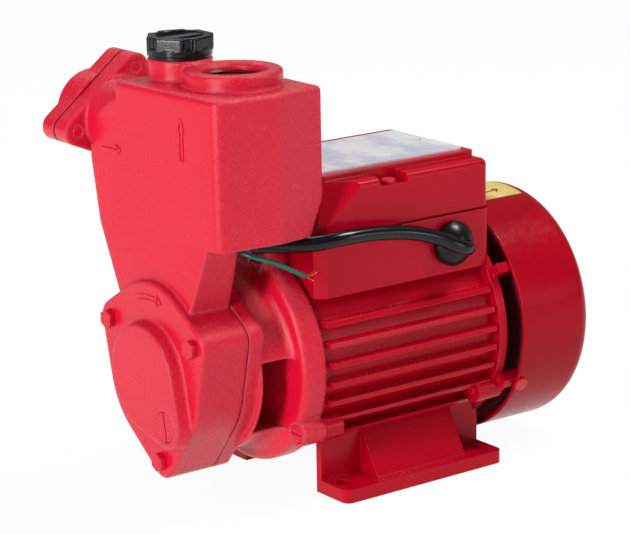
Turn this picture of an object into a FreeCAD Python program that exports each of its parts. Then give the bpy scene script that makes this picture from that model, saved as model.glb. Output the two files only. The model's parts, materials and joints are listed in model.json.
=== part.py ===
import FreeCAD, Part
import math
import os
import Sketcher

# Self-priming water pump: a cast pump end with a water tank on top, bolted through
# a lantern bracket to a finned induction motor on a cast foot.
# Frame: +X runs along the shaft from the pump to the fan, +Z is up, millimetres.
# The origin is the centre of the four foot holes, on the base plane.

SIZES = [
    # foot
    ("shaft_height", 66.0), ("foot_inset", 3.0), ("foot_half_width", 54.0), ("foot_plate", 6.6),
    ("foot_wall", 3.8), ("foot_wall_outer", 33.6), ("foot_hole_end", 7.0), ("foot_hole_side", 12.0),
    ("foot_hole_dia", 7.5),
    ("foot_corner", 4.0), ("foot_web_top", 10.0), ("foot_web", 3.0), ("foot_web_start", 5.0),
    ("gusset_length", 55.0), ("gusset_reach", 13.5), ("gusset_top", 30.0),
    # motor frame and its fins
    ("frame_length", 104.0), ("frame_front", 57.0), ("frame_radius", 49.0), ("frame_wall", 4.0),
    ("fin_height", 5.0), ("fin_pitch", 9.5), ("fin_thick", 2.6), ("fin_first", 4.1),
    ("fin_end_gap", 1.5), ("lug_offset", 3.0), ("lug_radius", 6.5), ("lug_length", 10.0),
    ("screw_radius", 2.5), ("screw_head_radius", 4.3), ("screw_head", 3.0), ("screw_gap", 0.3),
    # shaft, bearings, rotor, stator
    ("bearing_bore", 7.5), ("bearing_outer", 17.5), ("bearing_width", 11.0), ("pump_shaft_radius", 6.0),
    ("fan_seat_radius", 6.5), ("rotor_radius", 27.5), ("rotor_end_room", 22.0), ("rotor_centre", 2.0),
    ("rotor_shaft_radius", 9.0), ("air_gap", 0.5), ("winding_length", 12.0), ("winding_inset", 2.0),
    ("winding_room", 3.0), ("run_gap", 0.05),
    # rear shield, fan and fan cover
    ("shield_rim", 5.0), ("shield_lip", 5.0), ("shield_plate", 3.0), ("shield_hub_radius", 22.0),
    ("bearing_recess", 2.0), ("shaft_step", 3.0),
    ("cover_gap", 5.0), ("cover_offset", 12.0), ("cover_wall", 1.6), ("cover_length", 46.0),
    ("cover_corner", 9.0), ("strut_width", 5.0), ("strut_count", 6), ("vent_inset", 19.0),
    ("vent_pitch", 10.0), ("vent_width", 4.0), ("fan_tip_gap", 4.9), ("fan_hub_radius", 13.0),
    ("fan_width", 20.0), ("fan_blade", 2.0), ("fan_blades", 9), ("fan_disc", 2.0), ("fan_clear", 6.5),
    # lantern bracket
    ("motor_flange", 13.0), ("flange_lip", 2.5), ("window_length", 17.5),
    ("pump_flange", 8.2), ("barrel_radius", 42.0), ("barrel_wall", 6.0), ("window_top", 9.0),
    ("window_bottom", 27.0), ("seal_bore", 14.0), ("seal_depth", 7.0), ("slinger_radius", 14.0),
    ("slinger_thick", 3.0), ("joint_gap", 0.5),
    # pump ring
    ("ring_depth", 25.3), ("ring_radius", 38.0), ("crown_radius", 38.5), ("crown_rise", 7.5),
    ("lobe_radius", 8.5), ("bolt_radius", 41.0), ("bolt_angle_far", 31.0), ("bolt_angle_near", 148.5),
    ("bolt_angle_low", 262.0), ("bolt_shank", 2.5), ("bolt_head_af", 8.0), ("bolt_head", 3.5),
    ("disc_height", 6.5), ("disc_radius", 26.5), ("disc_draft", 16.0), ("chamber_radius", 34.0),
    ("chamber_depth", 13.5), ("eye_radius", 17.0), ("eye_depth", 5.0),
    # impeller
    ("impeller_radius", 32.5), ("impeller_width", 12.0), ("impeller_web", 7.0), ("impeller_hub", 11.0),
    ("vane_count", 36), ("vane_depth", 6.0), ("vane_slot", 3.4), ("vane_side", 4.0),
    # drain plug
    ("drain_radius", 27.0), ("drain_angle", 225.0), ("drain_thread", 5.0), ("drain_head", 7.2),
    ("drain_head_thick", 3.0), ("drain_reach", 11.0), ("drain_ear", 12.5), ("drain_slot", 1.4),
    ("drain_slot_turn", 80.0), ("drain_washer", 1.0),
    # neck and water tank
    ("neck_front", 119.0), ("neck_near", 26.5), ("neck_far", 29.0), ("neck_foot", 96.0),
    ("neck_near_top", 38.0),
    ("tank_front", 116.9), ("tank_rear", 53.0), ("tank_near", 46.6), ("tank_far", 32.0),
    ("tank_skew", 4.0), ("tank_bulge", 3.0), ("tank_floor", 133.0), ("tank_top", 203.0),
    ("tank_corner", 5.0), ("tank_edge", 2.5), ("tank_wall", 5.0), ("tank_chamfer_rise", 20.0),
    ("tank_chamfer_run", 9.7),
    ("chest_radius", 29.0), ("chest_side", 21.0), ("chest_drop", 7.5), ("chest_depth", 40.0),
    # discharge and priming bosses
    ("port_bore", 15.15), ("port_chamfer", 2.0), ("passage_radius", 6.0), ("passage_x", 107.5),
    ("boss_radius", 23.5), ("boss_rise", 7.5), ("boss_x", 82.0), ("boss_y", 15.0),
    ("prime_x", 89.0), ("prime_y", 18.0), ("prime_radius", 15.5), ("prime_rise", 9.5),
    ("prime_depth", 30.0),
    ("prime_thread", 9.0), ("prime_reach", 12.0), ("cap_radius", 16.7), ("cap_height", 9.0),
    ("cap_skirt", 2.5), ("cap_lobes", 5), ("cap_notch", 2.5), ("cap_dish", 3.0), ("cap_bar", 5.0),
    ("washer", 1.5),
    # suction port
    ("suction_x", 100.5), ("suction_z", 180.0), ("suction_neck", 19.5), ("flange_face", 54.0),
    ("flange_thick", 10.0), ("flange_bolt_radius", 25.0), ("flange_corner", 6.7),
    ("flange_angle_front", 190.0), ("flange_angle_top", 67.0), ("flange_angle_low", 304.0),
    ("port_radius", 20.3), ("port_length", 6.5), ("gasket", 1.0), ("ring_gasket", 0.5),
    ("flap_radius", 12.0), ("flap_thick", 1.6), ("flap_pivot", 13.0), ("flap_ear", 3.0), ("flap_pin", 8.0),
    # terminal box
    ("box_front", 55.5), ("box_overhang", 2.5), ("box_half_width", 43.0), ("box_saddle", 15.0),
    ("box_rise", 14.0), ("box_wall", 3.0), ("box_chamfer", 5.0), ("lid_height", 24.8), ("lid_edge", 3.5),
    ("lid_room_front", 36.0), ("lid_room_half", 30.0), ("lid_rebate", 7.0), ("lid_screw_depth", 12.0),
    ("lid_slope", 10.0), ("lid_bevel", 24.0), ("plinth_half_width", 33.0), ("plinth_rise", 2.6),
    ("plinth_start", 45.0), ("plate_half_width", 27.5), ("plate_margin", 2.5), ("plate_thick", 0.8),
    ("notch_at", 9.5), ("notch_length", 17.0), ("notch_width", 10.0), ("notch_depth", 4.5),
    ("capacitor_radius", 12.5), ("capacitor_length", 56.0), ("capacitor_side", 12.0),
    ("content_start", 28.0), ("terminal_length", 34.0), ("terminal_width", 16.0), ("terminal_height", 7.0),
    ("terminal_side", 28.0), ("terminal_post", 2.0), ("terminal_post_height", 5.0), ("terminal_pitch", 11.0),
    ("gland_x", 25.0), ("gland_z", 115.0), ("gland_radius", 11.0), ("gland_height", 9.0),
    ("cable_radius", 3.6), ("core_radius", 1.2), ("cable_x", 28.0), ("cable_z", 114.0),
    ("cable_socket", 4.5),
]

# Sizes that follow from those above.
DERIVED = [
    ("frame_bore", "frame_radius - frame_wall"),
    ("fin_tip_radius", "frame_radius + fin_height"),
    ("lug_pitch_radius", "frame_radius + lug_offset"),
    ("motor_flange_radius", "frame_radius + flange_lip"),
    ("shield_rim_radius", "frame_radius + shield_lip"),
    ("cover_radius", "frame_radius + cover_offset"),
    ("vent_radius", "cover_radius - vent_inset"),
    ("fan_radius", "cover_radius - cover_wall - fan_tip_gap"),
    ("foot_length", "frame_length - 2 * foot_inset"),
    ("rotor_length", "frame_length - 2 * rotor_end_room"),
    ("winding_thick", "frame_bore - winding_room - rotor_radius - air_gap - winding_inset"),
    ("box_rear", "frame_length - frame_front + box_overhang"),
    ("box_floor", "shaft_height + frame_radius - box_saddle"),
    ("box_seam", "shaft_height + frame_radius + box_rise"),
    ("lid_top", "box_seam + lid_height"),
    ("chest_height", "tank_top - chest_drop - chest_radius"),
]

# The supply cable's route and those of its three cores, from the gland to their cut ends.
CABLE_ROUTE = [
    (28.0, -47.5, 114.0), (28.0, -52.6, 114.0), (24.0, -56.8, 114.8), (17.0, -56.6, 117.6),
    (8.0, -53.4, 122.6), (-8.0, -51.0, 127.4), (-30.0, -50.7, 130.2), (-49.0, -50.6, 130.5),
    (-60.5, -45.5, 128.6), (-72.0, -36.5, 128.5), (-84.0, -29.5, 128.6),
]
GREEN_ROUTE = [
    (-84.0, -29.5, 130.2), (-87.1, -27.7, 130.2), (-91.0, -28.4, 129.8), (-93.6, -31.4, 129.2),
    (-93.6, -36.9, 128.1), (-90.1, -41.1, 126.6), (-83.0, -42.9, 124.0), (-74.0, -44.3, 119.3),
    (-65.6, -46.0, 114.6),
]
BROWN_ROUTE = [(-83.3, -28.4, 127.8), (-86.8, -26.4, 127.8), (-90.6, -25.6, 127.4)]
BLUE_ROUTE = [(-84.7, -30.6, 127.8), (-88.2, -28.6, 127.4), (-91.6, -27.9, 126.1)]

doc = FreeCAD.newDocument("WaterPump")
sheet = doc.addObject("Spreadsheet::Sheet", "Sizes")


class Numbers:
    """The sheet's values as plain numbers, for outlines and places."""


s = Numbers()
for number, (alias, amount) in enumerate(SIZES + DERIVED, start=1):
    sheet.set("A%d" % number, alias.replace("_", " "))
    sheet.set("B%d" % number, "=" + amount if isinstance(amount, str) else str(amount))
    sheet.setAlias("B%d" % number, alias)
    doc.recompute()
    setattr(s, alias, float(sheet.get(alias)))

ALIASES = [alias for alias, amount in SIZES + DERIVED]
PARTS = []


# ---------------------------------------------------------------- helpers

def bound(text):
    """Write each size's name in an expression as a reference to the sheet."""
    words = text.split(" ")
    return " ".join("Sizes." + word if word in ALIASES else word for word in words)


def vector(x, y, z):
    return FreeCAD.Vector(x, y, z)


TURNS = {
    "X": FreeCAD.Rotation(vector(0, 1, 0), 90),
    "-X": FreeCAD.Rotation(vector(0, 1, 0), -90),
    "Y": FreeCAD.Rotation(vector(1, 0, 0), -90),
    "-Y": FreeCAD.Rotation(vector(1, 0, 0), 90),
    "Z": FreeCAD.Rotation(),
}


def set_size(item, prop, amount):
    if isinstance(amount, str):
        item.setExpression(prop, bound(amount))
    else:
        setattr(item, prop, amount)


def cylinder(radius, length, place, axis="Z"):
    item = doc.addObject("Part::Cylinder", "Cylinder")
    set_size(item, "Radius", radius)
    set_size(item, "Height", length)
    item.Placement = FreeCAD.Placement(vector(*place), TURNS[axis])
    return item


def cone(radius, radius_end, length, place, axis="Z"):
    item = doc.addObject("Part::Cone", "Cone")
    set_size(item, "Radius1", radius)
    set_size(item, "Radius2", radius_end)
    set_size(item, "Height", length)
    item.Placement = FreeCAD.Placement(vector(*place), TURNS[axis])
    return item


def block(length, width, height, place, rotation=None):
    item = doc.addObject("Part::Box", "Box")
    set_size(item, "Length", length)
    set_size(item, "Width", width)
    set_size(item, "Height", height)
    item.Placement = FreeCAD.Placement(vector(*place), rotation or FreeCAD.Rotation())
    return item


def hexagon(across_flats, length, place, axis):
    item = doc.addObject("Part::Prism", "Prism")
    item.Polygon = 6
    set_size(item, "Circumradius", across_flats + " / sqrt(3)")
    set_size(item, "Height", length)
    item.Placement = FreeCAD.Placement(vector(*place), TURNS[axis])
    return item


def fuse(*items):
    if len(items) == 1:
        return items[0]
    item = doc.addObject("Part::MultiFuse", "Fusion")
    item.Shapes = list(items)
    item.Refine = True
    return item


def cut(base, *tools):
    item = doc.addObject("Part::Cut", "Cut")
    item.Base = base
    item.Tool = fuse(*tools)
    item.Refine = True
    return item


def common(first, second):
    item = doc.addObject("Part::Common", "Common")
    item.Base = first
    item.Tool = second
    return item


def part(item, label):
    """Give a finished sub-part the name that its file gets."""
    item.Label = label
    PARTS.append(item)
    return item


def new_body(place=(0, 0, 0)):
    body = doc.addObject("PartDesign::Body", "Body")
    body.Placement = FreeCAD.Placement(vector(*place), FreeCAD.Rotation())
    return body


def sketch(body, role, offset, *loops):
    """A sketch on one of the body's origin planes, from loops of lines and arcs."""
    item = body.newObject("Sketcher::SketchObject", "Sketch")
    plane = [feature for feature in body.Origin.OriginFeatures if feature.Role == role][0]
    item.AttachmentSupport = [(plane, "")]
    item.MapMode = "FlatFace"
    item.AttachmentOffset = FreeCAD.Placement(vector(0, 0, offset), FreeCAD.Rotation())
    for loop in loops:
        first = item.GeometryCount
        for edge in loop:
            item.addGeometry(edge, False)
        if len(loop) == 1:
            continue
        for index in range(len(loop)):
            here = first + index
            after = first + (index + 1) % len(loop)
            ends = [(1, item.getPoint(here, 1)), (2, item.getPoint(here, 2))]
            starts = [(1, item.getPoint(after, 1)), (2, item.getPoint(after, 2))]
            pairs = [(a[1].distanceToPoint(b[1]), a[0], b[0]) for a in ends for b in starts]
            gap, end, start = min(pairs)
            item.addConstraint(Sketcher.Constraint("Coincident", here, end, after, start))
    return item


def line(start, end):
    return Part.LineSegment(vector(start[0], start[1], 0), vector(end[0], end[1], 0))


def circle(x, y, radius):
    return [Part.Circle(vector(x, y, 0), vector(0, 0, 1), radius)]


def arc(x, y, radius, start, end):
    ring = Part.Circle(vector(x, y, 0), vector(0, 0, 1), radius)
    return Part.ArcOfCircle(ring, start, end)


def polygon(points):
    return [line(points[i], points[(i + 1) % len(points)]) for i in range(len(points))]


def rounded(corners):
    """A closed outline from corners (x, y, radius), each corner rounded by its radius."""
    edges = []
    stops = []
    count = len(corners)
    for index in range(count):
        x, y, radius = corners[index]
        before = corners[index - 1]
        after = corners[(index + 1) % count]
        back = math.atan2(before[1] - y, before[0] - x)
        ahead = math.atan2(after[1] - y, after[0] - x)
        turn = (ahead - back) % (2 * math.pi)
        half = min(turn, 2 * math.pi - turn) / 2
        reach = radius / math.tan(half)
        enter = (x + reach * math.cos(back), y + reach * math.sin(back))
        leave = (x + reach * math.cos(ahead), y + reach * math.sin(ahead))
        stops.append((enter, leave))
        if radius > 0:
            middle = back + turn / 2 if turn < math.pi else back + turn / 2 + math.pi
            far = radius / math.sin(half)
            centre = (x + far * math.cos(middle), y + far * math.sin(middle))
            a = math.atan2(enter[1] - centre[1], enter[0] - centre[0])
            b = math.atan2(leave[1] - centre[1], leave[0] - centre[0])
            if turn < math.pi:
                a, b = b, a
            if b < a:
                b += 2 * math.pi
            edges.append(("arc", arc(centre[0], centre[1], radius, a, b)))
        else:
            edges.append(None)
    outline = []
    for index in range(count):
        if edges[index]:
            outline.append(edges[index][1])
        outline.append(line(stops[index][1], stops[(index + 1) % count][0]))
    return outline


def hull(circles):
    """The outline of a belt pulled tight round circles (x, y, radius)."""
    steps = 2880
    owners = []
    for step in range(steps):
        angle = 2 * math.pi * step / steps
        reach = [c[0] * math.cos(angle) + c[1] * math.sin(angle) + c[2] for c in circles]
        owners.append(reach.index(max(reach)))
    starts = [step for step in range(steps) if owners[step] != owners[step - 1]]
    runs = []
    for index, step in enumerate(starts):
        here = circles[owners[step]]
        there = circles[owners[step - 1]]
        gap = math.hypot(here[0] - there[0], here[1] - there[1])
        lead = math.atan2(here[1] - there[1], here[0] - there[0])
        lean = math.acos(max(-1.0, min(1.0, (there[2] - here[2]) / gap)))
        options = [lead + lean, lead - lean]
        target = 2 * math.pi * step / steps
        angle = min(options, key=lambda o: abs(math.remainder(o - target, 2 * math.pi)))
        runs.append((here, angle))
    outline = []
    for index, (here, angle) in enumerate(runs):
        after, turn = runs[(index + 1) % len(runs)]
        while turn < angle:
            turn += 2 * math.pi
        while turn > angle + 2 * math.pi:
            turn -= 2 * math.pi
        outline.append(arc(here[0], here[1], here[2], angle, turn))
        start = (here[0] + here[2] * math.cos(turn), here[1] + here[2] * math.sin(turn))
        end = (after[0] + after[2] * math.cos(turn), after[1] + after[2] * math.sin(turn))
        if math.dist(start, end) > 1e-6:
            outline.append(line(start, end))
    return outline


def pad(body, profile, length, taper=0.0):
    item = body.newObject("PartDesign::Pad", "Pad")
    item.Profile = profile
    set_size(item, "Length", length)
    if taper:
        item.TaperAngle = taper
    doc.recompute()
    return item


def revolve(body, points, place_axis="H_Axis"):
    """Turn an outline of (x, radius) points round the body's own X axis."""
    profile = sketch(body, "XZ_Plane", 0, points)
    item = body.newObject("PartDesign::Revolution", "Revolution")
    item.Profile = profile
    item.ReferenceAxis = (profile, [place_axis])
    item.Angle = 360
    doc.recompute()
    return item


def turned(points, place):
    """A body of revolution about a line parallel to the shaft."""
    body = new_body(place)
    revolve(body, polygon(points))
    return body


def fillet(body, radius, chosen):
    """Round the body's edges that the function chosen picks."""
    doc.recompute()
    tip = body.Tip
    names = []
    for index, edge in enumerate(tip.Shape.Edges, start=1):
        if chosen(edge):
            names.append("Edge%d" % index)
    item = body.newObject("PartDesign::Fillet", "Fillet")
    item.Base = (tip, names)
    item.Radius = radius
    doc.recompute()
    return item


def polar(radius, angle):
    """Across (Y) and up (Z) from the shaft axis, angle in degrees from +Y."""
    turn = math.radians(angle)
    return radius * math.cos(turn), radius * math.sin(turn)


# ---------------------------------------------------------------- stations along the shaft

AXIS = s.shaft_height
FRONT = -s.frame_front
REAR = FRONT + s.frame_length
FLANGE = FRONT - s.joint_gap
WINDOW_END = FLANGE - s.motor_flange
WINDOW_START = WINDOW_END - s.window_length
SEAM = WINDOW_START - s.pump_flange
RING = SEAM - s.ring_gasket
RIM = RING - s.ring_depth
DISC = RIM - s.disc_height
CHAMBER = RING - s.chamber_depth
SHIELD = REAR + s.shield_rim
COVER = SHIELD + s.cover_gap
COVER_END = COVER + s.cover_length
FAN = COVER + s.fan_clear
BEARING_FRONT = FLANGE - s.bearing_width
BEARING_REAR = REAR - s.bearing_recess
ROTOR_FRONT = s.rotor_centre - s.rotor_length / 2
ROTOR_REAR = s.rotor_centre + s.rotor_length / 2
SPAN = 400.0
BOLT_ANGLES = [s.bolt_angle_far, s.bolt_angle_near, s.bolt_angle_low]
LUG_ANGLES = [75.0, 105.0, 213.0, 327.0]
FLANGE_ANGLES = [s.flange_angle_front, s.flange_angle_top, s.flange_angle_low]
STRUT_ANGLES = [26.0 + 360.0 / s.strut_count * index for index in range(int(s.strut_count))]


# ---------------------------------------------------------------- foot and motor frame

def motor_foot():
    """Two side feet with gussets, joined by a web under the rear half of the motor."""
    outer = s.foot_half_width
    wall = s.foot_wall_outer
    inner = wall - s.foot_wall
    top = AXIS - math.sqrt(s.frame_radius ** 2 - wall ** 2) + s.foot_wall
    reach = wall + s.gusset_reach

    def corner(edge):
        upright = abs(edge.tangentAt(edge.FirstParameter).z) > 0.99
        return upright and abs(abs(edge.CenterOfMass.y) - outer) < 0.01

    pieces = []
    for side in (-1, 1):
        foot = new_body((-s.foot_length / 2, 0, 0))
        points = [(inner, 0), (outer, 0), (outer, s.foot_plate), (wall, s.foot_plate), (wall, top)]
        points += [(inner, top)]
        points = [(side * y, z) for y, z in points]
        pad(foot, sketch(foot, "YZ_Plane", 0, polygon(points)), "foot_length")
        fillet(foot, s.foot_corner, corner)
        gusset = new_body((-s.gusset_length / 2 + s.fin_thick, 0, 0))
        points = [(inner, 0), (reach, 0), (reach, s.foot_plate), (wall, s.gusset_top)]
        points += [(inner, s.gusset_top)]
        points = [(side * y, z) for y, z in points]
        pad(gusset, sketch(gusset, "YZ_Plane", 0, polygon(points)), "gusset_length")
        pieces += [foot, gusset]
    web = block("foot_length / 2 - foot_web_start", 2 * inner + s.foot_wall, "foot_web",
                (s.foot_web_start, -inner - s.foot_wall / 2, s.foot_web_top - s.foot_web))
    holes = []
    along = s.foot_length / 2 - s.foot_hole_end
    across = outer - s.foot_hole_side
    for x in (-along, along):
        for y in (-across, across):
            holes.append(cylinder("foot_hole_dia / 2", "foot_plate * 3", (x, y, -s.foot_plate)))
    saddle = cylinder("frame_radius", SPAN, (-SPAN / 2, 0, AXIS), "X")
    shield = cylinder("shield_rim_radius + screw_gap", SPAN / 2, (REAR - s.joint_gap, 0, AXIS), "X")
    part(cut(fuse(*pieces, web), saddle, shield, *holes), "motor_foot")


def lug_cylinders(radius, length, x, angles=LUG_ANGLES):
    items = []
    for angle in angles:
        y, z = polar(s.lug_pitch_radius, angle)
        items.append(cylinder(radius, length, (x, y, AXIS + z), "X"))
    return items


def motor_frame():
    barrel = cylinder("frame_radius", "frame_length", (FRONT, 0, AXIS), "X")
    fins = []
    for row in range(-4, 3):
        z = AXIS + s.fin_first + row * s.fin_pitch - s.fin_thick / 2
        place = (FRONT + s.fin_end_gap, -s.fin_tip_radius, z)
        fins.append(block("frame_length - 2 * fin_end_gap", "2 * fin_tip_radius", "fin_thick", place))
    envelope = cylinder("fin_tip_radius", "frame_length", (FRONT, 0, AXIS), "X")
    lugs = lug_cylinders("lug_radius", "lug_length", FRONT)
    lugs += lug_cylinders("lug_radius", "lug_length", REAR - s.lug_length)
    bore = cylinder("frame_bore", SPAN, (-SPAN / 2, 0, AXIS), "X")
    taps = lug_cylinders("screw_radius + screw_gap", SPAN, -SPAN / 2)
    part(cut(fuse(barrel, common(fuse(*fins), envelope), *lugs), bore, *taps), "motor_frame")


def stator():
    body = new_body((0, 0, AXIS))
    bore = s.rotor_radius + s.air_gap
    core = [(ROTOR_FRONT, bore), (ROTOR_REAR, bore)]
    core += [(ROTOR_REAR, s.frame_bore), (ROTOR_FRONT, s.frame_bore)]
    revolve(body, polygon(core))
    part(body, "stator_core")
    inner = bore + s.winding_inset
    outer = inner + s.winding_thick
    for label, start, end in (("winding_front", ROTOR_FRONT - s.winding_length, ROTOR_FRONT),
                              ("winding_rear", ROTOR_REAR, ROTOR_REAR + s.winding_length)):
        body = new_body((0, 0, AXIS))
        soft = s.winding_thick / 4
        corners = [(start, inner, soft), (end, inner, soft), (end, outer, soft), (start, outer, soft)]
        revolve(body, rounded(corners))
        part(body, label)


def rear_shield():
    depth = s.bearing_width
    inner = BEARING_REAR
    back = inner + depth
    end = back + s.cover_wall * 2
    web = SHIELD - s.shield_plate
    hub = s.shield_hub_radius
    points = [(REAR, s.shield_rim_radius), (REAR, s.frame_bore), (web, s.frame_bore), (web, hub)]
    points += [(inner, hub), (inner, s.bearing_outer), (back, s.bearing_outer)]
    points += [(back, s.bearing_bore + s.joint_gap), (end, s.bearing_bore + s.joint_gap)]
    points += [(end, hub), (SHIELD, hub), (SHIELD, s.shield_rim_radius)]
    body = turned(points, (0, 0, AXIS))
    bore = s.cover_radius - s.cover_wall
    start = s.shield_rim_radius - 2
    struts = []
    for angle in STRUT_ANGLES:
        turn = FreeCAD.Rotation(vector(1, 0, 0), angle - 90)
        place = turn.multVec(vector(0, -s.strut_width / 2, start))
        foot = s.box_rear + s.screw_gap
        place = (foot, place.y, AXIS + place.z)
        length = COVER + s.strut_width - foot
        struts.append(block(length, "strut_width", bore + 1 - start, place, turn))
    lugs = lug_cylinders("lug_radius", "shield_rim", REAR)
    envelope = cylinder("cover_radius - cover_wall", SPAN, (-SPAN / 2, 0, AXIS), "X")
    whole = common(fuse(body, *struts, *lugs), envelope)
    taps = lug_cylinders("screw_radius + screw_gap", SPAN, -SPAN / 2)
    taps += lug_cylinders("screw_head_radius + 3 * screw_gap", SPAN, SHIELD)
    part(cut(whole, *taps), "rear_end_shield")


def fan_cover():
    outer = s.cover_radius
    inner = outer - s.cover_wall
    end = COVER_END
    corner = s.cover_corner
    body = new_body((0, 0, AXIS))
    core = [(COVER, 0, 0), (end, 0, 0), (end, outer, corner), (COVER, outer, 0)]
    revolve(body, rounded(core))
    hollow = new_body((0, 0, AXIS))
    deep = end - s.cover_wall
    core = [(COVER - 1, 0, 0), (deep, 0, 0), (deep, inner, corner - s.cover_wall), (COVER - 1, inner, 0)]
    revolve(hollow, rounded(core))
    slots = []
    count = int(2 * s.vent_radius / s.vent_pitch)
    for index in range(count):
        y = (index - (count - 1) / 2) * s.vent_pitch - s.vent_width / 2
        place = (deep - 1, y, AXIS - s.vent_radius)
        slots.append(block("cover_wall + 2", "vent_width", "2 * vent_radius", place))
    disc = cylinder("vent_radius", "cover_wall + 2", (deep - 1, 0, AXIS), "X")
    taps = cover_screw_set("screw_radius / 2 + screw_gap", s.cover_radius)
    part(cut(body, hollow, common(fuse(*slots), disc), *taps), "fan_cover")


def cover_screw_set(radius, reach):
    items = []
    for angle in STRUT_ANGLES[1::2]:
        turn = FreeCAD.Rotation(vector(1, 0, 0), angle - 90)
        start = turn.multVec(vector(0, 0, s.cover_radius - s.cover_wall))
        item = cylinder(radius, "cover_wall", (COVER + s.strut_width / 2, start.y, AXIS + start.z))
        item.Placement.Rotation = turn
        items.append(item)
    return items


def cover_screws():
    for number, angle in enumerate(STRUT_ANGLES[1::2], start=1):
        turn = FreeCAD.Rotation(vector(1, 0, 0), angle - 90)
        pieces = []
        for radius, length, start in (("screw_radius / 2", "cover_wall", s.cover_radius - s.cover_wall),
                                      ("screw_head_radius * 0.8", "screw_head / 2", s.cover_radius)):
            base = turn.multVec(vector(0, 0, start))
            item = cylinder(radius, length, (COVER + s.strut_width / 2, base.y, AXIS + base.z))
            item.Placement.Rotation = turn
            pieces.append(item)
        part(fuse(*pieces), "cover_screw_%d" % number)


def cooling_fan():
    hub = s.fan_hub_radius
    body = turned([(FAN, s.fan_seat_radius), (FAN, s.fan_radius), (FAN + s.fan_disc, s.fan_radius),
                   (FAN + s.fan_disc, hub), (FAN + s.fan_width, hub),
                   (FAN + s.fan_width, s.fan_seat_radius)], (0, 0, AXIS))
    blades = []
    count = int(s.fan_blades)
    for index in range(count):
        turn = FreeCAD.Rotation(vector(1, 0, 0), 360.0 * index / count)
        base = turn.multVec(vector(0, -s.fan_blade / 2, hub - 1))
        place = (FAN + s.fan_disc / 2, base.y, AXIS + base.z)
        width = "fan_width - fan_disc / 2"
        blades.append(block(width, "fan_blade", "fan_radius - fan_hub_radius", place, turn))
    part(fuse(body, *blades), "cooling_fan")


# ---------------------------------------------------------------- rotating line

def shaft():
    tip = CHAMBER + 1
    step = BEARING_FRONT - s.shaft_step
    fan_step = BEARING_REAR + s.bearing_width + 1
    end = FAN + s.fan_width + s.fan_disc
    points = [(tip, 0), (tip, s.pump_shaft_radius), (step, s.pump_shaft_radius)]
    points += [(step, s.bearing_bore), (FLANGE + 1, s.bearing_bore), (FLANGE + 1, s.rotor_shaft_radius)]
    points += [(BEARING_REAR - 1, s.rotor_shaft_radius), (BEARING_REAR - 1, s.bearing_bore)]
    points += [(fan_step, s.bearing_bore), (fan_step, s.fan_seat_radius), (end, s.fan_seat_radius)]
    points += [(end, 0)]
    part(turned(points, (0, 0, AXIS)), "motor_shaft")
    core = [(ROTOR_FRONT, s.rotor_shaft_radius), (ROTOR_FRONT, s.rotor_radius)]
    core += [(ROTOR_REAR, s.rotor_radius), (ROTOR_REAR, s.rotor_shaft_radius)]
    part(turned(core, (0, 0, AXIS)), "rotor_core")
    for label, start in (("front_bearing", BEARING_FRONT), ("rear_bearing", BEARING_REAR)):
        end = start + s.bearing_width
        bore = s.bearing_bore + s.run_gap
        outer = s.bearing_outer
        dish = 0.6
        lip = 3.2
        points = [(start, bore), (end, bore), (end, bore + lip), (end - dish, bore + lip)]
        points += [(end - dish, outer - lip), (end, outer - lip), (end, outer), (start, outer)]
        points += [(start, outer - lip), (start + dish, outer - lip), (start + dish, bore + lip)]
        points += [(start, bore + lip)]
        part(turned(points, (0, 0, AXIS)), label)


def impeller():
    start = CHAMBER + s.joint_gap + s.run_gap * 4
    end = start + s.impeller_width
    middle = (start + end) / 2
    web = s.impeller_web / 2
    root = s.impeller_radius - s.vane_depth
    bore = s.pump_shaft_radius
    hub = s.impeller_hub
    points = [(start, bore), (start, hub), (middle - web, hub), (middle - web, root - web)]
    points += [(start, root), (start, s.impeller_radius), (end, s.impeller_radius), (end, root)]
    points += [(middle + web, root - web), (middle + web, hub), (end, hub), (end, bore)]
    body = new_body((0, 0, AXIS))
    revolve(body, polygon(points))
    width = s.vane_slot / 2
    far = s.impeller_radius + 1
    for plane, reverse in ((start, True), (end, False)):
        slot = [(-width, root), (width, root), (width, far), (-width, far)]
        profile = sketch(body, "YZ_Plane", plane, polygon(slot))
        pocket = body.newObject("PartDesign::Pocket", "Slot")
        pocket.Profile = profile
        set_size(pocket, "Length", "vane_side")
        pocket.Reversed = reverse
        doc.recompute()
        ring = body.newObject("PartDesign::PolarPattern", "Slots")
        ring.Originals = [pocket]
        axis = [feature for feature in body.Origin.OriginFeatures if feature.Role == "X_Axis"][0]
        ring.Axis = (axis, [""])
        ring.Angle = 360
        ring.Occurrences = int(s.vane_count)
        body.Tip = ring
        doc.recompute()
    part(body, "impeller")


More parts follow.
